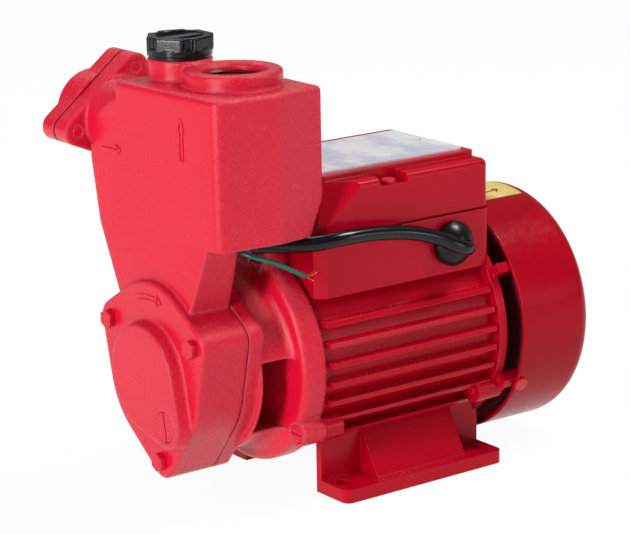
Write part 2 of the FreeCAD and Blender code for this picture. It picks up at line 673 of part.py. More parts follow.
def seal_and_slinger():
    seat_end = SEAM + s.seal_depth
    bore = s.pump_shaft_radius
    thick = s.flap_thick * 2
    seat = [(seat_end - thick, bore + 1), (seat_end, bore + 1), (seat_end, s.seal_bore)]
    seat += [(seat_end - thick, s.seal_bore)]
    part(turned(seat, (0, 0, AXIS)), "seal_seat")
    start = CHAMBER + s.joint_gap + s.run_gap * 4 + s.impeller_width
    face = seat_end - thick - s.screw_gap
    outer = s.seal_bore - 2
    waist = outer - 2
    step = (face - start) / 4
    points = [(start, bore), (start, outer), (start + step, outer), (start + step, waist)]
    points += [(start + 2 * step, waist + 1), (start + 3 * step, waist), (start + 3 * step, outer)]
    points += [(face, outer), (face, bore)]
    part(turned(points, (0, 0, AXIS)), "seal_rotor")
    middle = (WINDOW_START + WINDOW_END) / 2 - s.slinger_thick
    points = [(middle - s.slinger_thick, bore), (middle - s.slinger_thick, bore + 3)]
    points += [(middle - s.slinger_thick / 2, s.slinger_radius), (middle, s.slinger_radius)]
    points += [(middle + s.slinger_thick / 2, bore + 3), (middle + s.slinger_thick, bore + 3)]
    points += [(middle + s.slinger_thick, bore)]
    part(turned(points, (0, 0, AXIS)), "slinger")


# ---------------------------------------------------------------- lantern bracket

def ring_circles():
    circles = [(0, 0, s.ring_radius), (0, s.crown_rise, s.crown_radius)]
    for angle in BOLT_ANGLES:
        y, z = polar(s.bolt_radius, angle)
        circles.append((y, z, s.lobe_radius))
    return circles


def pump_bolts(radius, length, x):
    items = []
    for angle in BOLT_ANGLES:
        y, z = polar(s.bolt_radius, angle)
        items.append(cylinder(radius, length, (x, y, AXIS + z), "X"))
    return items


def pump_bracket():
    plate = new_body((SEAM, 0, AXIS))
    pad(plate, sketch(plate, "YZ_Plane", 0, hull(ring_circles())), "pump_flange")
    wall = s.barrel_wall
    outer = s.barrel_radius
    flare = s.motor_flange_radius - outer - 3
    lap = 1.0
    edge = 3.5
    rim = s.motor_flange_radius
    hub = s.bearing_outer + wall * 0.7
    hub_start = BEARING_FRONT - s.foot_wall
    corners = [(WINDOW_START - lap, outer - wall, 0), (WINDOW_END, outer - wall, 0), (WINDOW_END, hub, 0)]
    corners += [(hub_start, hub, 0), (hub_start, s.bearing_bore + 1.5, 0)]
    corners += [(BEARING_FRONT, s.bearing_bore + 1.5, 0), (BEARING_FRONT, s.bearing_outer, 0)]
    corners += [(FLANGE, s.bearing_outer, 0), (FLANGE, rim, edge * 0.4), (WINDOW_END, rim, edge)]
    corners += [(WINDOW_END, outer, flare), (WINDOW_START - lap, outer, 0)]
    barrel = new_body((0, 0, AXIS))
    revolve(barrel, rounded(corners))
    lugs = lug_cylinders("lug_radius", "motor_flange", WINDOW_END)
    windows = []
    height = s.window_bottom + s.window_top
    for y in (-SPAN / 2, s.seal_bore + 2):
        place = (WINDOW_START, y, AXIS - s.window_bottom)
        windows.append(block("window_length", SPAN / 2 - s.seal_bore - 2, height, place))
    seal = cylinder("seal_bore", "seal_depth", (SEAM, 0, AXIS), "X")
    bore = cylinder("pump_shaft_radius + 1", SPAN / 2, (SEAM - 1, 0, AXIS), "X")
    keep = cylinder("bearing_bore + 1.5", SPAN, (hub_start, 0, AXIS), "X")
    taps = lug_cylinders("screw_radius + screw_gap", SPAN, -SPAN / 2)
    sinks = lug_cylinders("screw_head_radius + screw_gap", "screw_head", WINDOW_END)
    bolts = pump_bolts("bolt_shank", "pump_flange", SEAM)
    whole = fuse(plate, barrel, *lugs)
    part(cut(whole, *windows, seal, bore, keep, *taps, *sinks, *bolts), "pump_bracket")


def frame_screws():
    for number, angle in enumerate(LUG_ANGLES, start=1):
        y, z = polar(s.lug_pitch_radius, angle)
        seat = WINDOW_END + s.screw_head
        head = cylinder("screw_head_radius", "screw_head", (WINDOW_END, y, AXIS + z), "X")
        shank = cylinder("screw_radius", "motor_flange + lug_length - screw_head", (seat, y, AXIS + z), "X")
        slot = block("screw_head / 2", "2 * screw_head_radius + 2", "drain_slot",
                     (WINDOW_END - 0.5, y - s.screw_head_radius - 1, AXIS + z - s.drain_slot / 2))
        part(cut(fuse(head, shank), slot), "bracket_screw_%d" % number)
    for number, angle in enumerate(LUG_ANGLES, start=1):
        y, z = polar(s.lug_pitch_radius, angle)
        head = hexagon("2 * screw_head_radius", "screw_head", (SHIELD, y, AXIS + z), "X")
        shank = cylinder("screw_radius", "shield_rim + lug_length", (REAR - s.lug_length, y, AXIS + z), "X")
        part(fuse(head, shank), "shield_screw_%d" % number)


# ---------------------------------------------------------------- pump casing

def flange_circles():
    circles = []
    for angle in FLANGE_ANGLES:
        x, z = polar(s.flange_bolt_radius, angle)
        circles.append((x, z, s.flange_corner))
    return circles


def flange_plate(y_start, length):
    """A three-cornered flange plate from y_start outward, square to the suction axis."""
    body = new_body((-s.suction_x, y_start, s.suction_z))
    item = pad(body, sketch(body, "XZ_Plane", 0, hull(flange_circles())), length)
    item.Reversed = True
    doc.recompute()
    return body


def flange_bolts(radius, length, y_start):
    items = []
    for angle in FLANGE_ANGLES:
        x, z = polar(s.flange_bolt_radius, angle)
        items.append(cylinder(radius, length, (-s.suction_x + x, y_start, s.suction_z + z), "Y"))
    return items


def neck():
    """The hollow stalk between the ring and the tank, wider at the top."""
    rise = s.tank_floor + 1 - s.neck_foot
    slope = math.tan(math.radians(s.tank_skew))
    lean = 0.42
    near_top = s.neck_near_top
    far_top = s.neck_far + rise * lean
    low = [(-s.neck_front, -s.neck_near), (RING, -s.neck_near), (RING, s.neck_far)]
    low += [(-s.neck_front, s.neck_far)]
    high = [(-s.tank_front + slope * near_top, -near_top), (RING, -near_top), (RING, far_top)]
    high += [(-s.tank_front - slope * far_top, far_top)]
    body = new_body((0, 0, 0))
    bottom = sketch(body, "XY_Plane", s.neck_foot, polygon(low))
    top = sketch(body, "XY_Plane", s.tank_floor + 1, polygon(high))
    loft = body.newObject("PartDesign::AdditiveLoft", "Loft")
    loft.Profile = bottom
    loft.Sections = [top]
    loft.Ruled = True
    doc.recompute()
    return body


def tank():
    slope = math.tan(math.radians(s.tank_skew))
    crease = (s.tank_front + s.tank_rear) / 2 - 4
    near = s.tank_near
    far = s.tank_far
    corners = [(-s.tank_front + slope * near, -near, s.tank_corner), (-crease, -near - s.tank_bulge, 0)]
    corners += [(-s.tank_rear, -near + s.tank_bulge / 2, s.tank_edge)]
    corners += [(-s.tank_rear, far, s.tank_corner), (-s.tank_front - slope * far, far, s.tank_corner)]
    body = new_body((0, 0, s.tank_floor))
    pad(body, sketch(body, "XY_Plane", 0, rounded(corners)), "tank_top - tank_floor")
    top = s.tank_top - s.tank_floor
    fillet(body, s.tank_edge, lambda edge: abs(edge.BoundBox.ZMin - top) < 0.01)
    run = s.tank_chamfer_run
    rise = s.tank_chamfer_rise
    scoop = new_body((0, SPAN / 2, 0))
    floor = s.tank_floor
    points = [(-s.tank_rear - run, floor - 1), (-s.tank_rear + 1, floor - 1)]
    points += [(-s.tank_rear + 1, floor + rise), (-s.tank_rear, floor + rise)]
    pad(scoop, sketch(scoop, "XZ_Plane", 0, polygon(points)), SPAN)
    return cut(body, scoop)


def chest():
    """The round suction chamber bulging out of the tank's far side, tapering down into the neck."""
    start = -s.tank_front - s.tank_edge * 2
    body = new_body((start, 0, 0))
    drop = s.chest_side + s.chest_radius * 0.72
    circles = [(s.chest_side, s.chest_height, s.chest_radius), (drop, s.tank_floor + 2, 3.0)]
    circles += [(0.0, s.tank_floor + 2, 3.0), (0.0, s.chest_height, s.chest_radius / 2)]
    pad(body, sketch(body, "YZ_Plane", 0, hull(circles)), "chest_depth")
    turn = FreeCAD.Rotation(vector(0, 0, 1), s.tank_skew)
    base = turn.multVec(vector(-20, -SPAN / 2, 0)) + vector(-s.tank_front, 0, 0)
    face = block(20, SPAN, SPAN, (base.x, base.y, 0), turn)
    place = (-s.suction_x, s.chest_side, s.suction_z)
    port = cylinder("suction_neck", "flange_face - chest_side", place, "Y")
    return cut(fuse(body, port), face)


def round_boss(radius, height, place, edge):
    """An upright boss with its top edge rounded."""
    body = new_body(place)
    pad(body, sketch(body, "XY_Plane", 0, circle(0, 0, radius)), height)
    fillet(body, edge, lambda item: abs(item.BoundBox.ZMin - height) < 0.01)
    return body


def pump_casing():
    ring = new_body((RIM, 0, AXIS))
    pad(ring, sketch(ring, "YZ_Plane", 0, hull(ring_circles())), "ring_depth")
    fillet(ring, 1.2, lambda edge: edge.BoundBox.XMax < 0.01)
    ear_y, ear_z = polar(s.drain_radius, s.drain_angle)
    disc = new_body((RIM, 0, AXIS))
    outline = hull([(0, 0, s.disc_radius + 1), (ear_y, ear_z, s.drain_ear)])
    item = pad(disc, sketch(disc, "YZ_Plane", 0, outline), "disc_height", -s.disc_draft)
    item.Reversed = True
    doc.recompute()
    boss = round_boss(s.boss_radius, s.boss_rise + s.tank_wall,
                      (-s.boss_x, -s.boss_y, s.tank_top - s.tank_wall), 1.6)
    prime_top = s.tank_top + s.prime_rise
    prime = round_boss(s.prime_radius, s.prime_depth, (-s.prime_x, s.prime_y, prime_top - s.prime_depth), 0.8)
    solid = fuse(ring, disc, neck(), tank(), chest(), boss, prime,
                 flange_plate(s.flange_face, "flange_thick"))

    wall = s.tank_wall
    chamber = cylinder("chamber_radius", "chamber_depth", (CHAMBER, 0, AXIS), "X")
    eye = cylinder("eye_radius", "eye_depth + 1", (CHAMBER - s.eye_depth, 0, AXIS), "X")
    split = s.chest_side - s.chest_radius + wall
    width = s.tank_near - wall + split - wall
    high = s.tank_top - s.tank_floor - 2 * wall
    length = s.tank_front - s.tank_rear - 3.2 * wall
    tank_void = block(length, width, high, (-s.tank_front + 1.6 * wall, -s.tank_near + wall,
                                            s.tank_floor + wall))
    chest_radius = s.chest_radius - wall - 1
    chest_void = cylinder(chest_radius, "chest_depth - 10", (-s.tank_front + wall, s.chest_side + 1,
                                                             s.chest_height), "X")
    passages = []
    for y, top in ((s.chest_side * 0.7, s.chest_height), (-s.chest_side * 0.7, s.tank_floor + 2 * wall)):
        low = AXIS + s.chamber_radius * 0.7
        passages.append(cylinder("passage_radius", top - low, (-s.passage_x, y, low)))
    bore = cylinder("port_bore", s.boss_rise + wall + 2, (-s.boss_x, -s.boss_y, s.tank_top - wall - 1))
    mouth = cone("port_bore", "port_bore + port_chamfer", "port_chamfer",
                 (-s.boss_x, -s.boss_y, s.tank_top + s.boss_rise - s.port_chamfer))
    depth = prime_top - s.chest_height - chest_radius + 4
    filler = cylinder("prime_thread", depth, (-s.prime_x, s.prime_y, prime_top - depth))
    plate_end = s.flange_face + s.flange_thick
    inlet = cylinder("port_bore", plate_end - s.chest_side - 15, (-s.suction_x, s.chest_side + 15,
                                                                 s.suction_z), "Y")
    drain_tap = cylinder("drain_thread + run_gap", CHAMBER - DISC + 2, (DISC - 1, ear_y, AXIS + ear_z), "X")
    drain_sink = cylinder("drain_head + screw_gap", "drain_head_thick + drain_washer + 1",
                          (DISC - 1, ear_y, AXIS + ear_z), "X")
    bolts = pump_bolts("bolt_shank + screw_gap", SPAN, -SPAN / 2 + RING)
    flange_taps = flange_bolts("screw_radius", "flange_thick", s.flange_face)
    part(cut(solid, chamber, eye, tank_void, chest_void, *passages, bore, mouth, filler, inlet, drain_tap,
             drain_sink, *bolts, *flange_taps), "pump_casing")


def casing_gasket():
    body = new_body((RING, 0, AXIS))
    pad(body, sketch(body, "YZ_Plane", 0, hull(ring_circles())), "ring_gasket")
    hole = cylinder("chamber_radius", SPAN, (-SPAN, 0, AXIS), "X")
    part(cut(body, hole, *pump_bolts("bolt_shank + screw_gap", SPAN, -SPAN)), "casing_gasket")


def casing_bolts():
    for number, angle in enumerate(BOLT_ANGLES, start=1):
        y, z = polar(s.bolt_radius, angle)
        head = hexagon("bolt_head_af", "bolt_head", (RIM - s.bolt_head, y, AXIS + z), "X")
        shank = cylinder("bolt_shank", "ring_depth + ring_gasket + pump_flange", (RIM, y, AXIS + z), "X")
        part(fuse(head, shank), "casing_bolt_%d" % number)


def drain_plug():
    y, z = polar(s.drain_radius, s.drain_angle)
    face = DISC + s.drain_head_thick + s.drain_washer
    seat = face - s.drain_washer
    head = cylinder("drain_head", "drain_head_thick", (DISC, y, AXIS + z), "X")
    stem = cylinder("drain_thread", "drain_reach - drain_head_thick", (seat, y, AXIS + z), "X")
    turn = FreeCAD.Rotation(vector(1, 0, 0), s.drain_slot_turn)
    across = turn.multVec(vector(0, -2 * s.drain_head, -s.drain_slot / 2))
    slot = block("drain_head_thick", "4 * drain_head", "drain_slot",
                 (DISC - s.drain_head_thick / 2, y + across.y, AXIS + z + across.z), turn)
    part(cut(fuse(head, stem), slot), "drain_plug")
    ring = cylinder("drain_head", "drain_washer", (seat, y, AXIS + z), "X")
    hole = cylinder("drain_thread + run_gap", SPAN, (-SPAN, y, AXIS + z), "X")
    part(cut(ring, hole), "drain_washer")


def priming_plug():
    """A moulded plug: a grip with flats and notches, a dished top with a bar, and a threaded stem."""
    seat = s.tank_top + s.prime_rise
    base = seat + s.washer
    count = int(s.cap_lobes)
    pitch = 2 * math.pi / count
    flat = 0.34 * pitch
    notch = 0.09 * pitch
    skirt = cylinder("cap_radius - 1.2", "cap_skirt + 1", (-s.prime_x, s.prime_y, base))
    stem = cylinder("prime_thread - run_gap * 2", "prime_reach + washer + 1",
                    (-s.prime_x, s.prime_y, seat - s.prime_reach))
    grip = new_body((-s.prime_x, s.prime_y, base + s.cap_skirt))
    outline = []
    for index in range(count):
        middle = pitch * index
        for angle, reach, soft in ((middle - flat, s.cap_radius, 1.2), (middle + flat, s.cap_radius, 1.2),
                                   (middle + pitch / 2 - notch, s.cap_radius - s.cap_notch, 0.6),
                                   (middle + pitch / 2 + notch, s.cap_radius - s.cap_notch, 0.6)):
            outline.append((reach * math.cos(angle), reach * math.sin(angle), soft))
    pad(grip, sketch(grip, "XY_Plane", 0, rounded(outline)), "cap_height - cap_skirt")
    rise = s.cap_height - s.cap_skirt
    fillet(grip, 0.8, lambda edge: abs(edge.BoundBox.ZMin - rise) < 0.01)
    floor = base + s.cap_height - s.cap_dish
    rim = s.cap_radius - 2 * s.cap_notch
    dish = cone(rim - 1.5, rim, "cap_dish + 0.1", (-s.prime_x, s.prime_y, floor))
    bar = block(2 * rim - 2, "cap_bar", "cap_dish - 0.5",
                (-s.prime_x - rim + 1, s.prime_y - s.cap_bar / 2, floor))
    part(fuse(cut(fuse(skirt, grip), dish), bar, stem), "priming_plug")
    ring = cylinder("prime_radius - 1", "washer", (-s.prime_x, s.prime_y, seat))
    hole = cylinder("prime_thread + screw_gap", SPAN, (-s.prime_x, s.prime_y, 0))
    part(cut(ring, hole), "priming_gasket")


def suction_port():
    gasket_start = s.flange_face + s.flange_thick
    start = gasket_start + s.gasket
    seat = cylinder("flap_radius - 2", SPAN, (-s.suction_x, 0, s.suction_z), "Y")
    sheet_ring = flange_plate(gasket_start, "gasket")
    part(cut(sheet_ring, seat, *flange_bolts("screw_radius + screw_gap", SPAN, 0)), "suction_gasket")
    plate = flange_plate(start, "flange_thick")
    reach = s.flange_thick + s.port_length
    body = new_body((-s.suction_x, start, s.suction_z))
    edge = 3.0
    profile = rounded([(0, 0, 0), (s.port_radius, 0, 0), (s.port_radius, reach, edge), (0, reach, 0)])
    turned_port = body.newObject("PartDesign::Revolution", "Revolution")
    turned_port.Profile = sketch(body, "XY_Plane", 0, profile)
    turned_port.ReferenceAxis = (turned_port.Profile[0], ["V_Axis"])
    turned_port.Angle = 360
    doc.recompute()
    bore = cylinder("port_bore", SPAN, (-s.suction_x, start + 3, s.suction_z), "Y")
    scallops = flange_bolts("screw_head_radius + screw_gap * 2", SPAN, start + s.flange_thick)
    holes = flange_bolts("screw_radius + screw_gap", SPAN, 0)
    part(cut(fuse(plate, body), seat, bore, *scallops, *holes), "suction_flange")
    for number, angle in enumerate(FLANGE_ANGLES, start=1):
        x, z = polar(s.flange_bolt_radius, angle)
        place = (-s.suction_x + x, start + s.flange_thick, s.suction_z + z)
        head = hexagon("2 * screw_head_radius * 0.866", "screw_head", place, "Y")
        root = (place[0], s.flange_face, place[2])
        shank = cylinder("screw_radius", "2 * flange_thick + gasket", root, "Y")
        part(fuse(head, shank), "flange_screw_%d" % number)
    flap = new_body((-s.suction_x, gasket_start - s.screw_gap - s.flap_thick, s.suction_z))
    outline = hull([(0, 0, s.flap_radius), (0, s.flap_pivot - s.flap_ear, s.flap_ear)])
    item = pad(flap, sketch(flap, "XZ_Plane", 0, outline), "flap_thick")
    item.Reversed = True
    doc.recompute()
    place = (-s.suction_x, gasket_start - s.screw_gap - 3 * s.flap_thick, s.suction_z)
    weight = cylinder("flap_radius / 2", "2 * flap_thick", place, "Y")
    pin = cylinder("flap_thick / 2", "flap_pin", (-s.suction_x - s.flap_pin / 2,
           gasket_start - s.screw_gap - s.flap_thick / 2, s.suction_z + s.flap_pivot), "X")
    part(fuse(flap, weight, pin), "check_flap")


# ---------------------------------------------------------------- terminal box

def bevel_tools():
    """Blocks that slice the lid's two corners next to the tank along slanted planes."""
    tools = []
    seam = s.box_seam + 2
    for side in (-1, 1):
        low = vector(-s.box_front, side * s.box_half_width, seam)
        high = vector(-s.box_front + s.lid_bevel * 1.2, side * s.box_half_width, s.lid_top)
        back = vector(-s.plinth_start, side * s.plinth_half_width, s.lid_top)
        normal = (high - low).cross(back - low)
        if normal.z < 0:
            normal = normal * -1
        normal.normalize()
        turn = FreeCAD.Rotation(vector(0, 0, 1), normal)
        shift = turn.multVec(vector(-SPAN / 4, -SPAN / 4, 0))
        tools.append(block(SPAN / 2, SPAN / 2, SPAN / 4, tuple(low + shift), turn))
    return tools


def box_outline(front_edge=1.0, rear_edge=3.0):
    width = s.box_half_width
    chamfer = s.box_chamfer
    corners = [(-s.box_front, -width + chamfer * 0.8, front_edge)]
    corners += [(-s.box_front + chamfer, -width, front_edge)]
    corners += [(s.box_rear, -width, rear_edge), (s.box_rear, width, rear_edge)]
    corners += [(-s.box_front + chamfer, width, front_edge)]
    corners += [(-s.box_front, width - chamfer * 0.8, front_edge)]
    return rounded(corners)


def terminal_box():
    body = new_body((0, 0, s.box_floor))
    pad(body, sketch(body, "XY_Plane", 0, box_outline()), "box_seam - box_floor")
    wall = s.box_wall
    floor = AXIS + s.frame_radius + wall
    start = -s.box_front + s.box_chamfer + 1
    room = block(s.box_rear - wall - start, "2 * box_half_width - 2 * box_wall", SPAN,
                 (start, -s.box_half_width + wall, floor))
    bosses = lid_screw_set("notch_width / 2 - screw_gap", s.box_seam - floor + 1, floor - 1)
    barrel = cylinder("frame_radius", SPAN, (-SPAN / 2, 0, AXIS), "X")
    flange = cylinder("motor_flange_radius + screw_gap", SPAN / 2, (FRONT + 0.5 - SPAN / 2, 0, AXIS), "X")
    shield = cylinder("shield_rim_radius + screw_gap", SPAN / 2, (REAR - 0.5, 0, AXIS), "X")
    lugs = lug_cylinders("lug_radius + screw_gap", SPAN / 2, FRONT + s.lug_length + 0.5 - SPAN / 2)
    lugs += lug_cylinders("lug_radius + screw_gap", SPAN / 2, REAR - s.lug_length - 0.5)
    taps = lid_screw_set("screw_radius - 0.5", SPAN / 4, s.box_seam - s.lid_screw_depth)
    part(cut(fuse(cut(body, room), *bosses), barrel, flange, shield, *lugs, *taps), "terminal_box")


def lid_screw_set(radius, length, z):
    items = []
    for side in (-1, 1):
        y = side * (s.box_half_width - s.notch_width / 2)
        items.append(cylinder(radius, length, (-s.notch_at, y, z)))
    return items


def terminal_lid():
    start = s.box_seam + s.gasket
    body = new_body((0, 0, start))
    soft = s.lid_edge + 0.5
    pad(body, sketch(body, "XY_Plane", 0, box_outline(soft, soft)), s.lid_top - start)
    top = s.lid_top
    fillet(body, s.lid_edge, lambda edge: abs(edge.BoundBox.ZMin - top + start) < 0.01)
    slope = new_body((0, SPAN / 2, 0))
    points = [(-s.box_front - 5, start + 2), (-s.box_front, start + 2)]
    points += [(-s.box_front + s.lid_slope, top + 1), (-s.box_front - 5, top + 1)]
    pad(slope, sketch(slope, "XZ_Plane", 0, polygon(points)), SPAN)
    length = s.plinth_start + s.box_rear - 1.5
    plinth = new_body((0, 0, top - 1))
    half = s.plinth_half_width
    corners = [(-s.plinth_start, -half, 2.0), (s.box_rear - 1.5, -half, 2.0)]
    corners += [(s.box_rear - 1.5, half, 2.0), (-s.plinth_start, half, 2.0)]
    pad(plinth, sketch(plinth, "XY_Plane", 0, rounded(corners)), "plinth_rise + 1")
    notches = []
    for side in (-1, 1):
        y = side * s.box_half_width - (s.notch_width if side > 0 else 0)
        place = (-s.notch_at - s.notch_length / 2, y, top - s.notch_depth)
        notches.append(block("notch_length", "notch_width", "notch_depth + 1", place))
    wall = s.box_wall
    front = s.lid_room_front
    half = s.lid_room_half
    room = block(s.box_rear + front - wall, 2 * s.box_half_width - 2 * wall, "lid_rebate + 1",
                 (-front, -s.box_half_width + wall, start - 1))
    upper = block(s.box_rear + front - wall, 2 * half, top - wall - start, (-front, -half, start))
    holes = lid_screw_set("screw_radius", SPAN / 2, 0)
    whole = fuse(cut(body, slope, *bevel_tools(), *notches), plinth)
    part(cut(whole, room, upper, *holes), "terminal_box_lid")
    for number, side in enumerate((-1, 1), start=1):
        y = side * (s.box_half_width - s.notch_width / 2)
        floor = top - s.notch_depth
        head = cylinder("screw_head_radius * 0.8", "screw_head * 0.7", (-s.notch_at, y, floor))
        shank = cylinder("screw_radius - 0.5", floor - s.box_seam + s.lid_screw_depth,
                         (-s.notch_at, y, s.box_seam - s.lid_screw_depth))
        slot = block(2 * s.screw_head_radius, 1.0, 1.0,
                     (-s.notch_at - s.screw_head_radius, y - 0.5, floor + s.screw_head * 0.7 - 0.8))
        part(cut(fuse(head, shank), slot), "lid_screw_%d" % number)
    ring = new_body((0, 0, s.box_seam))
    pad(ring, sketch(ring, "XY_Plane", 0, box_outline()), "gasket")
    inside = -s.box_front + s.box_chamfer + 1
    hole = block(s.box_rear - wall - inside, 2 * s.box_half_width - 2 * wall, SPAN,
                 (inside, -s.box_half_width + wall, 0))
    part(cut(ring, hole), "lid_gasket")


def nameplate():
    top = s.lid_top + s.plinth_rise
    body = new_body((0, 0, top))
    half = s.plate_half_width
    start = -s.plinth_start + s.plate_margin
    end = s.box_rear - 1.5 - s.plate_margin
    corners = [(start, -half, 2.0), (end, -half, 2.0), (end, half, 2.0), (start, half, 2.0)]
    pad(body, sketch(body, "XY_Plane", 0, rounded(corners)), "plate_thick")
    part(body, "nameplate")


def box_contents():
    floor = AXIS + s.frame_radius + s.box_wall
    start = -s.content_start
    height = floor + s.capacitor_radius
    can = cylinder("capacitor_radius", "capacitor_length", (start, s.capacitor_side, height), "X")
    part(can, "capacitor")
    base = block("terminal_length", "terminal_width", "terminal_height", (start, -s.terminal_side, floor))
    posts = []
    first = start + s.terminal_length / 2 - s.terminal_pitch
    middle = -s.terminal_side + s.terminal_width / 2
    for index in range(3):
        place = (first + index * s.terminal_pitch, middle, floor + s.terminal_height - 1)
        posts.append(cylinder("terminal_post", "terminal_post_height", place))
    part(fuse(base, *posts), "terminal_block")


def cable_gland():
    start = -s.box_half_width
    skirt = cylinder("gland_radius", "gland_height + 1", (s.gland_x, start, s.gland_z), "-Y")
    ball = doc.addObject("Part::Sphere", "Sphere")
    ball.Radius = s.gland_radius + 1.5
    centre = start - s.gland_height + s.gland_radius + 0.6
    ball.Placement = FreeCAD.Placement(vector(s.gland_x, centre, s.gland_z), FreeCAD.Rotation())
    socket = cylinder("cable_radius + screw_gap", 20.0, (s.cable_x, start - s.cable_socket, s.cable_z), "-Y")
    part(cut(common(skirt, ball), socket), "cable_gland")


def route_wire(points):
    """Straight runs joined by tangent arcs, each arc as large as its two runs allow."""
    corners = [vector(*point) for point in points]
    edges = []
    radii = []
    start = corners[0]
    for before, corner, after in zip(corners, corners[1:], corners[2:]):
        back = before - corner
        ahead = after - corner
        shorter = min(back.Length, ahead.Length)
        back.normalize()
        ahead.normalize()
        reach = 0.45 * shorter
        turn = math.pi - back.getAngle(ahead)
        radius = reach / math.tan(turn / 2)
        radii.append(radius)
        enter = corner + back * reach
        leave = corner + ahead * reach
        inward = (back + ahead).normalize()
        middle = corner + inward * (radius / math.cos(turn / 2) - radius)
        edges.append(Part.LineSegment(start, enter).toShape())
        edges.append(Part.Arc(enter, middle, leave).toShape())
        start = leave
    edges.append(Part.LineSegment(start, corners[-1]).toShape())
    return Part.Wire(edges), radii


def cord_tube(points, radius, label):
    """A plain solid tube along a route, with its bend radii and its volume printed."""
    path, radii = route_wire(points)
    along = vector(*points[1]) - vector(*points[0])
    section = Part.Wire(Part.makeCircle(radius, vector(*points[0]), along))
    item = doc.addObject("Part::Feature", "Tube")
    item.Shape = path.makePipeShell([section], True, True)
    part(item, label)
    expected = math.pi * radius ** 2 * path.Length
    print(label, "length", round(path.Length, 1), "radii", [round(value, 1) for value in radii])
    print(label, "volume over section times length", round(item.Shape.Volume / expected, 4))


def cable():
    cord_tube(CABLE_ROUTE, s.cable_radius, "cable_sheath")
    cord_tube(GREEN_ROUTE, s.core_radius, "cable_core_green")
    cord_tube(BROWN_ROUTE, s.core_radius, "cable_core_brown")
    cord_tube(BLUE_ROUTE, s.core_radius, "cable_core_blue")


motor_foot()
motor_frame()
stator()
rear_shield()
fan_cover()
cover_screws()
cooling_fan()
shaft()
impeller()
seal_and_slinger()
pump_bracket()
frame_screws()
pump_casing()
casing_gasket()
casing_bolts()
drain_plug()
priming_plug()
suction_port()
terminal_box()
terminal_lid()
nameplate()
box_contents()
cable_gland()
cable()

doc.recompute()
for item in doc.Objects:
    if "Invalid" in item.State or "Error" in item.State:
        raise RuntimeError("failed object: %s %s" % (item.Name, item.State))
os.makedirs("parts", exist_ok=True)
for item in PARTS:
    shape = item.Shape
    if shape.isNull() or not shape.isValid():
        raise RuntimeError("bad shape: " + item.Label)
    shape.exportStep("parts/%s.step" % item.Label)
    print(item.Label, len(shape.Solids), round(shape.Volume), [round(v, 1) for v in (
        shape.BoundBox.XMin, shape.BoundBox.XMax, shape.BoundBox.YMin, shape.BoundBox.YMax,
        shape.BoundBox.ZMin, shape.BoundBox.ZMax)])
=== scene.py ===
"""Looks for the self-priming water pump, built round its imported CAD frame.

Finishes for the nodes, cast arrows, a port thread, rivets, a label, the supply cable, light and camera.
Lengths are in metres. X runs along the shaft towards the fan, Y away from the cable side, Z up.
"""
import json
import math
import bpy
from mathutils import Matrix, Vector


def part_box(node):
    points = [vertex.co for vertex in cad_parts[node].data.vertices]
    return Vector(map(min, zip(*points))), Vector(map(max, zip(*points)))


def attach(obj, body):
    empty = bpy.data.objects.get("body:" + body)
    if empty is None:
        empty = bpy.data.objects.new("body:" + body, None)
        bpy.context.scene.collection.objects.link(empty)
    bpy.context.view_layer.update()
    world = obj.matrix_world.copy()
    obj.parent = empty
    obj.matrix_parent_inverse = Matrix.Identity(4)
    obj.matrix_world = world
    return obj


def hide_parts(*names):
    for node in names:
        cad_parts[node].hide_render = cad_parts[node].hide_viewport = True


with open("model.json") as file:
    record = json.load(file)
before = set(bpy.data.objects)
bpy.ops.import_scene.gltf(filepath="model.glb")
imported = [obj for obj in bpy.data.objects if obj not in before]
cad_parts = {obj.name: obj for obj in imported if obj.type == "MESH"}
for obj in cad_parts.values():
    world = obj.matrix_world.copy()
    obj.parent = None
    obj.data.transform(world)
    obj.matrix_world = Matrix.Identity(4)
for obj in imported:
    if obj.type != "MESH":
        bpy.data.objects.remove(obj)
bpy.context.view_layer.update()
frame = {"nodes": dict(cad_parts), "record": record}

AXIS = 0.066  # height of the shaft's centre


# ---------------------------------------------------------------- node helpers

